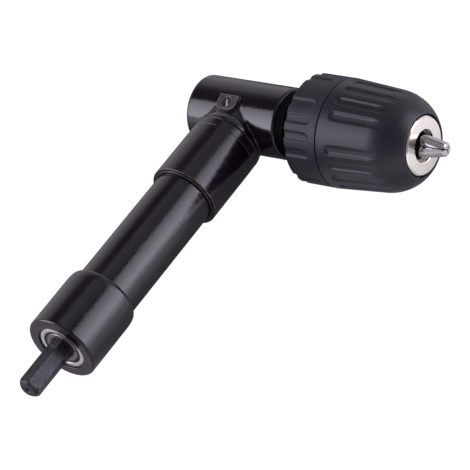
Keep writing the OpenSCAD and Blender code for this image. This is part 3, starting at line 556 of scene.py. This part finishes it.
def eased_copy(name, node, finish, width, steps=2):
    """A copy of the CAD node with its sharp edges broken and marked for the wear."""
    mesh = NODES[node].data.copy()
    work = merged(mesh, 2e-6)
    bmesh.ops.dissolve_limit(work, angle_limit=math.radians(0.7), verts=work.verts,
                             edges=work.edges)
    put_back(work, mesh)
    mesh.materials.clear()
    for _ in range(2):  # the second place tells the broken edges from the rest
        mesh.materials.append(FINISHES[finish])
    piece = new_object(name, mesh)
    soft = piece.modifiers.new("eased", "BEVEL")
    soft.width = width * MM
    soft.segments = steps
    soft.limit_method = "ANGLE"
    soft.angle_limit = math.radians(24)
    soft.material = 1
    piece.modifiers.new("level", "WEIGHTED_NORMAL").keep_sharp = True
    piece = settle(piece)
    faces = piece.data.polygons
    broken = np.array([face.material_index for face in faces])
    put_mark(piece.data, "edge", broken, "FACE")
    faces.foreach_set("material_index", 0 * broken)
    return dress(piece, node, finish)


# ---- sizes and colours

class TurnedSizes(PropertyGroup):
    segments: IntProperty(
        name="Segments", description="Facets round a turned piece", default=192, min=48,
        max=512)
    easing: FloatProperty(
        name="Edge easing", default=1.0, min=0.1, max=2.0,
        description="Share of the usual rounding on turned edges")


class HeadSizes(PropertyGroup):
    grid: FloatProperty(
        name="Mesh size", description="Side of the casting's mesh cells", default=0.00034,
        min=0.0002, max=0.001, unit="LENGTH")
    fillet: FloatProperty(
        name="Cast fillet", default=0.0009, min=0.0, max=0.003,
        description="Blend where barrel, socket and pad meet", unit="LENGTH")
    edge: FloatProperty(
        name="Edge rounding", default=0.00045, min=0.0001, max=0.002,
        description="Rounding of the casting's outer edges", unit="LENGTH")


class FluteSizes(PropertyGroup):
    width: FloatProperty(
        name="Flute width", description="Width of a flute on the sleeves", default=0.0037,
        min=0.001, max=0.006, unit="LENGTH")
    depth: FloatProperty(
        name="Flute depth", description="Depth of a flute's middle", default=0.0007,
        min=0.0001, max=0.0015, unit="LENGTH")
    places: IntProperty(
        name="Places", description="Places for flutes round a sleeve", default=20, min=4,
        max=60)
    group: IntProperty(
        name="Group", description="One place in so many stays plain", default=5, min=2, max=20)
    front_turn: FloatProperty(
        name="Front turn", subtype="ANGLE",
        description="Turn of the front sleeve's plain place", default=math.radians(-44))
    rear_turn: FloatProperty(
        name="Rear turn", subtype="ANGLE", description="Turn of the rear sleeve's plain place",
        default=math.radians(1))


class FinishColours(PropertyGroup):
    paint: FloatVectorProperty(
        name="Paint", description="Gloss black paint", subtype="COLOR",
        default=(0.0058, 0.0031, 0.0066))
    paint_roughness: FloatProperty(
        name="Paint roughness", subtype="FACTOR", description="Roughness of the gloss paint",
        default=0.12, min=0.0, max=1.0)
    plastic: FloatVectorProperty(
        name="Plastic", description="Charcoal moulded sleeves", subtype="COLOR",
        default=(0.0110, 0.0107, 0.0172))
    plastic_roughness: FloatProperty(
        name="Plastic roughness", subtype="FACTOR",
        description="Roughness of the moulded sleeves", default=0.37, min=0.0, max=1.0)
    nickel: FloatVectorProperty(
        name="Nickel", description="Nose ring", subtype="COLOR", default=(0.90, 0.85, 0.77))
    jaw: FloatVectorProperty(
        name="Jaw steel", description="Jaws", subtype="COLOR", default=(0.52, 0.505, 0.51))
    steel: FloatVectorProperty(
        name="Bearing steel", description="Races and balls", subtype="COLOR",
        default=(0.74, 0.71, 0.68))
    ground: FloatVectorProperty(
        name="Ground steel", description="Shafts, gears and nut", subtype="COLOR",
        default=(0.22, 0.21, 0.205))
    shank: FloatVectorProperty(
        name="Blackened steel", description="Hex shank", subtype="COLOR",
        default=(0.0355, 0.0350, 0.0420))
    # a matt black ring whose near-black tone is also painted shade of the recessed gap before
    # the chuck
    matt_black: FloatVectorProperty(
        name="Matt black", description="Ring before the chuck", subtype="COLOR",
        default=(0.0022, 0.002, 0.0024))
    rubber: FloatVectorProperty(
        name="Seal rubber", description="Bearing and oil seals", subtype="COLOR",
        default=(0.018, 0.018, 0.018))
    brass: FloatVectorProperty(
        name="Brass", description="Ball cages", subtype="COLOR", default=(0.62, 0.45, 0.20))


class StageSettings(PropertyGroup):
    floor: FloatVectorProperty(
        name="Floor", description="Plain pale floor", subtype="COLOR",
        default=(0.17, 0.17, 0.17))
    side_light: FloatProperty(
        name="Side light", default=1.0, min=0.0,
        description="Brightness of the softboxes on the chuck's side")
    front_light: FloatProperty(
        name="Front light", default=1.0, min=0.0,
        description="Brightness of the softboxes over the shank's side")
    lens: FloatProperty(
        name="Lens", description="Focal length in millimetres", default=190.88, min=20.0,
        max=500.0)


# ---- the head casting

def seat_of(node):
    """The radius and the start of the bore that a turned node sits in, in millimetres."""
    low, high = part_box(node)
    return (high.z - low.z) / 2 / MM + 0.02, -high.x / MM


# Sizes of the casting in millimetres, in the handle's frame: x along the chuck, y up, z
# towards the shank. The bores behind the gear follow the CAD nodes that sit in them.
BARREL_R, BARREL_MIDDLE, BARREL_HALF = 14.0, 1.5, 21.5
SOCKET_R, SOCKET_SWELL, SOCKET_END = 12.3, 1.6, 16.2
SWELL_START, SWELL_LENGTH = 11.6, 4.4
SOCKET_BORE_R = 9.55
PAD_SLOPE, PAD_Y, PAD_Z = math.radians(20), 14.1, 7.2
PAD_HALF_WIDTH, PAD_HALF_HEIGHT, PAD_DEPTH = 4.5, 3.2, 6.0
PLUG_HOLE_R, PLUG_HOLE_DEPTH = 2.03, 3.0
CHAMBER_R = 11.06
REAR_R, REAR_START = seat_of("rear_bearing_outer")
CAP_R, CAP_START = seat_of("rear_cap")


def smooth_low(first, second, width):
    """The lower of two distances, blended over width."""
    share = np.clip(0.5 + 0.5 * (second - first) / width, 0, 1)
    return second * (1 - share) + first * share - width * share * (1 - share)


def smooth_high(first, second, width):
    return -smooth_low(-first, -second, width)


def on_pad(points):
    """Points of the handle's frame as places across, up and out of the pad."""
    across, rise, run = (points - (0, PAD_Y, PAD_Z)).T
    sine, cosine = math.sin(PAD_SLOPE), math.cos(PAD_SLOPE)
    return across, rise * sine - run * cosine, rise * cosine + run * sine


def casting_distance(points, fillet, edge):
    """How far points lie outside the head's skin."""
    x, y, z = points.T
    across = np.hypot(y, z)
    from_handle = np.hypot(x, y)
    barrel = smooth_high(across - BARREL_R, np.abs(x - BARREL_MIDDLE) - BARREL_HALF, 1.6)
    swell = np.clip((z - SWELL_START) / SWELL_LENGTH, 0, 1)
    flare = SOCKET_R + SOCKET_SWELL * np.sqrt(np.clip(1 - (1 - swell) ** 2, 0, 1))
    socket = smooth_high(from_handle - flare, z - SOCKET_END, 2.2 * edge)
    socket = smooth_high(socket, -z, 0.5)
    _, up, out = on_pad(points)
    corner = np.where(up < 0, 2.4, 0.35)  # round below, nearly sharp above
    side = np.stack([np.abs(x) - (PAD_HALF_WIDTH - corner),
                     np.abs(up) - (PAD_HALF_HEIGHT - corner)])
    outline = (np.hypot(*np.maximum(side, 0)) + np.minimum(side.max(0), 0)) - corner
    pad = smooth_high(outline, out, 1.3 * edge)
    pad = smooth_high(pad, -out - PAD_DEPTH, 0.3)
    skin = smooth_low(smooth_low(barrel, socket, fillet), pad, fillet * 0.5)
    for bore in (
        np.maximum(across - CHAMBER_R, 1.0 - REAR_START - x),
        np.maximum(across - REAR_R + 1.0, x),
        np.maximum(across - REAR_R, x + REAR_START),
        np.maximum(across - CAP_R, x + CAP_START),
        np.maximum(from_handle - SOCKET_BORE_R, -z),
        np.maximum(np.hypot(x, up) - PLUG_HOLE_R, np.abs(out) - PLUG_HOLE_DEPTH),
    ):
        skin = smooth_high(skin, -bore, 0.35)
    return skin


def skin_normals(points, shape, step=0.02):
    slopes = np.stack([shape(points + way) - shape(points - way) for way in np.eye(3) * step],
                      axis=1)
    return slopes / np.maximum(np.linalg.norm(slopes, axis=1, keepdims=True), 1e-9)


def skin_bend(points, shape, step=0.12):
    """How sharply the skin turns away at each point, per millimetre; negative in a hollow."""
    sides = sum(shape(points + way) + shape(points - way) for way in np.eye(3) * step)
    return (sides - 6 * shape(points)) / step ** 2


def skin_mesh(name, shape, low, high, cell):
    """A closed mesh of the places where shape is zero: one point in each cell that the skin
    crosses, then moved onto it."""
    counts = [math.ceil((b - a) / cell) + 1 for a, b in zip(low, high)]
    grid = np.array(low) + cell * np.moveaxis(np.indices(counts), 0, -1)
    value = shape(grid.reshape(-1, 3)).reshape(counts)
    total, crossings, quads = np.zeros([*counts, 3]), np.zeros(counts), []
    for axis in range(3):
        along = np.moveaxis(value, axis, 0)
        a, b = (np.moveaxis(part, 0, axis) for part in (along[:-1], along[1:]))
        crossed = (a < 0) != (b < 0)
        at = np.argwhere(crossed)
        share = (a[crossed] / (a[crossed] - b[crossed]))[:, None]
        place = np.array(low) + cell * at + cell * share * np.eye(3)[axis]
        sides = np.delete(np.eye(3, dtype=int), axis, axis=0)
        corners = at[:, None] - np.array([(0, 0), (1, 0), (1, 1), (0, 1)]) @ sides
        for spot in corners.swapaxes(0, 1):
            np.add.at(total, tuple(spot.T), place)
            np.add.at(crossings, tuple(spot.T), 1)
        quads.append(corners)
    used = crossings > 0
    number = used.cumsum().reshape(counts) - 1
    points = total[used] / crossings[used][:, None]
    for _ in range(6):
        normal = skin_normals(points, shape)
        points = points - normal * np.clip(shape(points), -0.2, 0.2)[:, None]
    faces = number[tuple(np.concatenate(quads).T)].T
    mesh = bpy.data.meshes.new(name)
    mesh.from_pydata((points * MM).tolist(), [], faces.tolist())
    mesh.validate()
    return mesh


class ATTACHMENT_OT_head(Operator):
    """Cast head: crossed barrel and socket with the sloping pad"""
    bl_idname = "attachment.head"
    bl_label = "Head casting"

    def execute(self, context):
        sizes = context.scene.attachment_head
        fillet, edge = sizes.fillet / MM, sizes.edge / MM

        def shape(points):
            return casting_distance(points, fillet, edge)

        low, high = (-20.9, -14.9, -14.9), (23.9, 15.9, 17.1)  # with room round the skin
        mesh = skin_mesh("head", shape, low, high, sizes.grid / MM)
        close_up(mesh, 1e-8)
        points = np.array([corner.co for corner in mesh.vertices]) / MM
        put_mark(mesh, "edge", np.clip(skin_bend(points, shape) - 0.6, 0, 1))
        across, up, out = on_pad(points)
        put_mark(mesh, "cast", (np.abs(across) < PAD_HALF_WIDTH + 0.1)
                 & (np.abs(up) < PAD_HALF_HEIGHT + 0.1) & (out > -0.9))
        mesh.normals_split_custom_set_from_vertices(skin_normals(points, shape).tolist())
        mesh.transform(HANDLE)
        dress(new_object("head", mesh), "head_casting", "head_paint")
        eased_copy("rear_plug", "rear_cap", "paint", 0.15)
        plug = eased_copy("slotted_plug", "grease_plug", "plug", 0.06).data
        to_handle = HANDLE.inverted()
        centres = np.array([to_handle @ face.center for face in plug.polygons]) / MM
        across, up, out = on_pad(centres)
        in_slot = (out < -0.42) & (np.hypot(across, up) < 1.75) & (out > -1.2)
        put_mark(plug, "bare", in_slot, "FACE")
        return {"FINISHED"}


# ---- the handle

class ATTACHMENT_OT_handle(Operator):
    """Turned handle: tube, neck, collar and the two rings by the head"""
    bl_idname = "attachment.handle"
    bl_label = "Handle"

    def execute(self, context):
        black = ("paint", "black_paint")
        turned_piece("tube", [(12, 21.45), (12, 119.35), (9.8, 119.35), (9.8, 21.45)],
                     HANDLE, "handle_tube", *black)
        turned_piece("neck", [
            (9.52, 12.3), (10.6, 12.3), (10.6, 19.7), (13.78, 19.7, 0.06), (13.9, 19.82, 0.06),
            (13.9, 46.0, 0.3), (12.9, 46.05, 0.05), (12.9, 46.5, 0.3), (12.02, 46.5, 0.1),
            (12.02, 21.4), (8.25, 21.4), (8.25, 18.4), (9.52, 18.4)],
            HANDLE, "neck_sleeve", *black)
        turned_piece("lock_band", [
            (10.62, 16.25), (13.73, 16.25, 0.06), (13.85, 16.37, 0.06), (13.85, 19.53, 0.06),
            (13.73, 19.65, 0.06), (10.62, 19.65)], HANDLE, "lock_ring", *black)
        crown = arc(11.888, 102, 2.0, -85, -12, 9) + arc(0.15, 104.5, 14.0, -12, 0, 6)[1:]
        turned_piece("collar", [(12.02, 119.4), (12.02, 100.02)] + crown + [
            (14.15, 127.4, 0.85), (13.55, 128, 0.85), (9.92, 128, 0.2), (9.92, 127.1),
            (9.52, 127.1), (9.52, 122.35), (8.25, 122.35), (8.25, 119.4)],
            HANDLE, "end_collar", *black)
        # the ring before the chuck: matt black, darkened into painted shade for the recessed gap
        turned_piece("front_band", [
            (9.225, 18.4), (11, 18.4), (11, 23.05), (13.4, 23.05, 0.15), (13.4, 26.8, 0.2),
            (12.6, 27.6, 0.2), (6.5, 27.6, 0.3), (6.5, 24.89), (9.225, 24.89)],
            OUTPUT, "front_ring", "matt_black", "black_paint")
        return {"FINISHED"}


class ATTACHMENT_OT_shank(Operator):
    """Hex shank with the ball bearing in the collar"""
    bl_idname = "attachment.shank"
    bl_label = "Shank and end bearing"

    def execute(self, context):
        eased_copy("shank", "input_shaft", "shank", 0.22, steps=3)
        eased_copy("outer_race", "end_bearing_outer", "steel_shank", 0.2)
        eased_copy("race_seal", "end_bearing_seal", "rubber", 0.08)
        eased_copy("inner_race", "end_bearing_inner", "ground_shank", 0.2)
        return {"FINISHED"}


# ---- the chuck

def finished(w, geometry, finish):
    """The end of a geometry tree: real meshes with their finish."""
    real = w.get("GeometryNodeRealizeInstances", {0: geometry})
    return w.get("GeometryNodeSetMaterial", {"Geometry": real, "Material": finish})


def flute_tree():
    """Presses flutes with round ends into a turned sleeve, whose axis is local z. They run
    out between the two fade places, and only outside the core's radius."""
    w, given, result = new_group(
        "Flutes", "GeometryNodeTree",
        {"Sleeve": "Geometry", "Width": 0.0037, "Depth": 0.0007, "Start": 0.05,
         "End": 0.07, "Places": 20, "Group": 5, "Turn": 0.0, "Radius": 0.021,
         "Radius At": 0.05, "Taper": 0.0, "Fade From": 0.1, "Fade To": 0.11,
         "Core Radius": 0.018, "Finish": "Material"}, "Sleeve")
    x, y, z = w.split(w.get("GeometryNodeInputPosition"))
    radius = w.length(x, y)
    turn = w.math("ARCTAN2", y, x) - given["Turn"]
    pitch = 2 * math.pi / given["Places"]
    place = w.math("ROUND", turn / pitch)
    in_group = w.math("FLOORED_MODULO", place + 0.25, given["Group"])  # 0.25: plain
    line = given["Radius"] - (z - given["Radius At"]) * given["Taper"]
    half = given["Width"] * 0.5
    middle = w.math("MINIMUM", w.math("MAXIMUM", z, given["Start"] + half),
                    given["End"] - half)
    distance = w.length((turn - place * pitch) * line, z - middle)
    share = w.math("MINIMUM", distance / half, 1.0)
    depth = w.ramp(z, given["Fade From"], given["Fade To"], given["Depth"], 0.0)
    bottom = w.math("MINIMUM", radius, line) - depth * (1.0 - w.math("POWER", share, 4.0))
    scale = bottom / w.math("MAXIMUM", radius, 1e-6)
    inside = (w.math("LESS_THAN", share, 1.0) * w.math("GREATER_THAN", in_group, 0.9)
              * w.math("GREATER_THAN", radius, given["Core Radius"]))
    pressed = w.get("GeometryNodeSetPosition", {
        "Geometry": given["Sleeve"], "Selection": inside,
        "Position": w.join(x * scale, y * scale, z)})
    w.feed(result, {"Sleeve": finished(w, pressed, given["Finish"])})
    return w.tree


def ball_tree():
    """A row of balls round local z."""
    w, given, result = new_group(
        "Ball Row", "GeometryNodeTree",
        {"Places": "Geometry", "Count": 10, "Pitch Radius": 0.01,
         "Ball Radius": 0.002, "Along": 0.0, "Turn": 0.0, "Finish": "Material"},
        "Balls")
    circle = w.get("GeometryNodeMeshCircle", {
        "Vertices": given["Count"], "Radius": given["Pitch Radius"]})
    places = w.get("GeometryNodeTransform", {
        "Geometry": circle, "Translation": w.join(z=given["Along"]),
        "Rotation": w.join(z=given["Turn"])})
    ball = w.get("GeometryNodeMeshIcoSphere", {
        "Radius": given["Ball Radius"], "Subdivisions": 4}, "Mesh")
    row = w.get("GeometryNodeInstanceOnPoints", {"Points": places, "Instance": ball})
    smooth = w.get("GeometryNodeSetShadeSmooth", {0: row})
    w.feed(result, {"Balls": finished(w, smooth, given["Finish"])})
    return w.tree


def run_tree(piece, tree, **values):
    """The plain mesh piece that the tree makes of a piece, with inputs given by name."""
    work = piece.modifiers.new(tree.name, "NODES")
    work.node_group = tree
    sockets = {s.name: s.identifier for s in tree.interface.items_tree if s.in_out == "INPUT"}
    for key, value in values.items():
        work[sockets[label(key)]] = value
    return settle(piece)


SLEEVE_R = 21.0  # of both sleeves, in millimetres


def fluted_sleeve(name, outline, tree, finish, node, **values):
    """A lathe piece about the chuck's axis, meshed finely outside for the flutes."""
    sizes = bpy.context.scene.attachment_flutes
    outline = filled_in(rounded_outline(outline, 0.25), longest=0.27, beyond=18.0)
    piece = run_tree(
        new_object(name, turned_mesh(name, outline, segments=480)), tree, width=sizes.width,
        places=sizes.places, group=sizes.group, radius=SLEEVE_R * MM,
        finish=FINISHES[finish], **values)
    piece.data.transform(OUTPUT)
    dress(piece, node, finish)


class ATTACHMENT_OT_sleeves(Operator):
    """Fluted front and rear grip sleeves of the chuck"""
    bl_idname = "attachment.sleeves"
    bl_label = "Grip sleeves"

    def execute(self, context):
        sizes = context.scene.attachment_flutes
        tree = flute_tree()
        fluted_sleeve("rear_grip", [
            (10.02, 32.55), (20.3, 32.55, 0.25), (SLEEVE_R, 33.25, 0.3),
            (SLEEVE_R, 47.35, 0.12), (17.02, 47.35), (17.02, 34.55), (10.02, 34.55)],
            tree, "rear_plastic", "chuck_rear_sleeve", depth=0.85 * sizes.depth,
            start=0.025, end=0.04415, turn=sizes.rear_turn)
        nose = arc(1.761, 67.855, 17.65, 4.372, 52.73, 34)
        fluted_sleeve("front_grip", [
            (17.3, 47.75), (20.85, 47.75, 0.08), (SLEEVE_R, 47.9, 0.08)] + nose + [
            (nose[-1][0] - 0.12, 81.9, 0.15), (11.85, 81.9, 0.15), (11.85, 79.0), (12.4, 79.0),
            (12.4, 66.3), (16.04, 66.3), (16.04, 57.7), (17.3, 57.7)],
            tree, "plastic", "chuck_front_sleeve", depth=sizes.depth, start=0.05155,
            end=0.0785, turn=sizes.front_turn, radius_at=0.0481,
            taper=(SLEEVE_R - 19.36) / (69.2 - 48.1), fade_from=0.067, fade_to=0.0765)
        return {"FINISHED"}


class ATTACHMENT_OT_nose(Operator):
    """Bright nose ring and the three jaws"""
    bl_idname = "attachment.nose"
    bl_label = "Nose and jaws"

    def execute(self, context):
        turned_piece("nose_band", [
            (10.27, 77.95), (11.25, 77.95), (11.25, 81.8, 0.06), (10.75, 82.3, 0.1),
            (6.4, 82.3, 0.15), (6.15, 82.05, 0.15), (6.15, 80.35), (10.27, 80.35)],
            OUTPUT, "nose_ring", "nickel", "bright_nickel")
        for number in (1, 2, 3):
            eased_copy(f"grip_jaw_{number}", f"jaw_{number}", "jaw", 0.12)
        return {"FINISHED"}


# ---- inner pieces

BALL_ROWS = {"end_bearing_balls": 12, "pinion_bearing_balls": 9, "front_bearing_balls": 10,
             "rear_bearing_balls": 10, "thrust_balls": 20}


def on_shank_axis(node):
    return node.startswith(("end_", "pinion_")) or NODES[node]["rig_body"] == "input"


class ATTACHMENT_OT_balls(Operator):
    """Rows of balls in the four ball bearings and the chuck's thrust bearing"""
    bl_idname = "attachment.balls"
    bl_label = "Ball rows"

    def execute(self, context):
        tree = ball_tree()
        for node, count in BALL_ROWS.items():
            low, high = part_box(node)  # the row's sizes follow from its CAD box
            if on_shank_axis(node):
                place, turn, finish = HANDLE, 0.0, "steel_shank"
                ball = (high.y - low.y) / 2
                along, outer = REACH - (high.y + low.y) / 2, high.x
            else:
                place, turn, finish = OUTPUT, math.pi / 2, "steel_chuck"
                ball = (high.x - low.x) / 2
                along, outer = (high.x + low.x) / 2, -low.z
            start = new_object(node.replace("_balls", "_ball_row"), bpy.data.meshes.new(node))
            piece = run_tree(
                start, tree, count=count, pitch_radius=outer - ball, ball_radius=ball,
                along=along, turn=turn, finish=FINISHES[finish])
            piece.data.transform(place)
            dress(piece, node, finish)
        return {"FINISHED"}


class ATTACHMENT_OT_inner(Operator):
    """Finishes for the inner pieces that keep their CAD shape"""
    bl_idname = "attachment.inner"
    bl_label = "Inner pieces"

    def execute(self, context):
        for name, node in NODES.items():
            if node.hide_render:  # a piece of the scene takes its place
                continue
            place = "_shank" if on_shank_axis(name) else "_chuck"
            if "seal" in name:
                finish = "rubber"
            elif "cage" in name:
                finish = "brass" + place
            elif "bearing" in name or "washer" in name:
                finish = "steel" + place
            else:
                finish = "ground" + place
            node.data.materials.clear()
            node.data.materials.append(FINISHES[finish])
        return {"FINISHED"}


# ---- stage

# Each softbox spans two angles above the horizon, and its cloth is brighter in some places
# than in others: (share of the height, brightness) from the bottom up.
SIDE_CLOTH = ((0.0, 4.3), (0.3, 4.1), (0.62, 2.7), (1.0, 1.1))
FRONT_CLOTH = ((0.0, 4.7), (0.2, 5.0), (0.45, 4.4), (1.0, 2.1))
EVEN_CLOTH = ((0.0, 1.0), (1.0, 1.0))
LIT_PLACE = Vector((0.03, 0.09, 0.0))
SOFTBOX_WIDTH, SOFTBOX_DISTANCE = 0.8, 1.3


def softbox(name, along, level, low, high, cloth, strength):
    """A tall studio light. Along is the part of its direction that stays, and level the part
    that tips up from the low angle to the high one."""
    along, level = Vector(along), Vector(level)
    middle = math.radians((low + high) / 2)
    towards = along + level * math.cos(middle) + Vector((0, 0, level.length)) * math.sin(middle)
    light = bpy.data.lights.new(name, "AREA")
    light.shape = "RECTANGLE"
    light.size = SOFTBOX_WIDTH
    light.size_y = SOFTBOX_DISTANCE * 2 * level.length * math.tan(
        math.radians(high - low) / 2)
    light.energy = strength * math.pi * light.size * light.size_y
    light.color = (0.97, 0.93, 1.08)
    light.use_nodes = True
    w = Wiring(light.node_tree)
    height = w.split(w.get("ShaderNodeNewGeometry", out="Parametric"))[1]
    curve = w.node("ShaderNodeFloatCurve", {"Value": height})
    brightest = max(value for _, value in cloth)
    points = curve.mapping.curves[0].points
    for place, (share, value) in zip(points, (cloth[0], cloth[-1])):
        place.location = share, value / brightest
    for share, value in cloth[1:-1]:
        points.new(share, value / brightest)
    curve.mapping.update()
    w.feed(w.first("EMISSION"), {"Strength": Value(w, curve.outputs) * brightest})
    lamp = new_object(name, light)
    lamp.location = LIT_PLACE + towards * SOFTBOX_DISTANCE
    lamp.rotation_euler = towards.to_track_quat("Z", "Y").to_euler()
    lamp.visible_camera = False


def add_floor(settings):
    """A floor that glows evenly towards the camera, as a light table does. To the object it
    gives painted light on the side light's side and a painted shadow behind the object."""
    bpy.ops.mesh.primitive_grid_add(
        x_subdivisions=4, y_subdivisions=4, size=14.0,
        location=(0, 0, cad_box[0][2] - 0.00015))
    floor = bpy.context.active_object
    floor.name = "floor"
    material, w, surface = start_material("pale_floor")
    across, along, _ = w.split(w.position)
    # Painted light and shadow, seen only in reflections: lit is a painted pool of light on the
    # chuck's side, shade a painted shadow behind the object that also darkens the base colour.
    lit = w.ramp(across, -0.01, 0.05)
    shade = w.ramp(across, -0.12, -0.05) * w.ramp(along, -0.01, 0.025) * (1.0 - lit)
    glow = lit * w.ramp(along, 0.08, 0.11, 1.0, 0.0) * 0.29 + 0.28
    glow = (glow + w.ramp(across, 0.085, 0.11, 0.0, 0.4)) * (1.0 - shade)
    base = w.shades(w.noise(w.position, 1 / 3), settings.floor, 0.98, 1.02)
    seen = w.get("ShaderNodeLightPath", out="Is Camera Ray")
    w.feed(surface, {
        "Base Color": w.blend(shade, base, rgba(settings.floor, 0.15)),
        "Roughness": w.spread(lit, 0.6, 0.14), "IOR": 1.8,
        "Emission Color": w.blend(seen, w.blend(glow, BLACK, (0.97, 0.94, 1.05, 1)), WHITE),
        "Emission Strength": 1.0,
        "Alpha": 1.0 - w.get("ShaderNodeNewGeometry", out="Backfacing")})
    floor.data.materials.append(material)


def add_studio():
    """Grey walls, darker on one side, with a lighter ceiling."""
    world = bpy.data.worlds.new("studio")
    world.use_nodes = True
    w = Wiring(world.node_tree)
    direction = w.get("ShaderNodeTexCoord", out="Generated")
    height = w.split(direction)[2]
    towards_dark = w.vector("DOT_PRODUCT", direction, (0.76, -0.65, 0.0), out=1)
    walls = w.ramp(height, 0.5, 0.78, 0.78, 0.1) * w.ramp(towards_dark, 0.3, 0.85, 1.0, 0.35)
    ceiling = w.ramp(height, 0.82, 0.92, 0.0, 0.25)
    w.feed(w.first("BACKGROUND"), {
        "Color": w.blend(walls + ceiling, BLACK, (0.97, 0.95, 1.03, 1)), "Strength": 1.0})
    bpy.context.scene.world = world


class ATTACHMENT_OT_stage(Operator):
    """Pale floor, soft studio light and the camera"""
    bl_idname = "attachment.stage"
    bl_label = "Stage"

    def execute(self, context):
        settings = context.scene.attachment_stage
        add_floor(settings)
        add_studio()
        side, front = ((0, 0.51, 0), (0.86, 0, 0)), ((-0.6, 0, 0), (0, -0.8, 0))
        softbox("side_light", *side, -8, 51, SIDE_CLOTH, settings.side_light)
        softbox("top_light", *side, 60, 98, EVEN_CLOTH, 0.35 * settings.side_light)
        softbox("front_light", *front, 21, 74.5, FRONT_CLOTH, settings.front_light)
        softbox("low_light", *front, -6, 21, EVEN_CLOTH, settings.front_light)

        lens = bpy.data.cameras.new("camera")
        lens.lens = settings.lens
        lens.sensor_width = 36
        camera = new_object("camera", lens)
        camera.location = (0.58264, -0.39648, 0.56128)
        camera.rotation_euler = [math.radians(turn) for turn in (49.3977, 19.0511, 34.1015)]
        context.scene.camera = camera
        context.scene.view_settings.view_transform = "Standard"
        return {"FINISHED"}


STEPS = (
    ATTACHMENT_OT_stage, ATTACHMENT_OT_head, ATTACHMENT_OT_handle, ATTACHMENT_OT_shank,
    ATTACHMENT_OT_sleeves, ATTACHMENT_OT_nose, ATTACHMENT_OT_balls, ATTACHMENT_OT_inner,
)
GROUPS = {
    "attachment_turned": TurnedSizes,
    "attachment_head": HeadSizes,
    "attachment_flutes": FluteSizes,
    "attachment_colours": FinishColours,
    "attachment_stage": StageSettings,
}


class ATTACHMENT_PT_panel(Panel):
    """Lists the steps that make the attachment, with their sizes and colours"""
    bl_idname = "ATTACHMENT_PT_panel"
    bl_label = "Right angle attachment"
    bl_space_type = "VIEW_3D"
    bl_region_type = "UI"
    bl_category = "Attachment"

    def draw(self, context):
        for step in STEPS:
            self.layout.operator(step.bl_idname)
        for name in GROUPS:
            box = self.layout.box()
            settings = getattr(context.scene, name)
            for entry in settings.__annotations__:
                box.prop(settings, entry)


def register():
    for name, group in GROUPS.items():
        bpy.utils.register_class(group)
        setattr(bpy.types.Scene, name, PointerProperty(type=group))
    for step in STEPS + (ATTACHMENT_PT_panel,):
        bpy.utils.register_class(step)


def unregister():
    for step in reversed(STEPS + (ATTACHMENT_PT_panel,)):
        bpy.utils.unregister_class(step)
    for name, group in reversed(GROUPS.items()):
        delattr(bpy.types.Scene, name)
        bpy.utils.unregister_class(group)


def main():
    register()
    make_materials()
    for step in STEPS:
        getattr(bpy.ops.attachment, step.bl_idname.split(".")[1])()


if __name__ == "__main__":
    main()
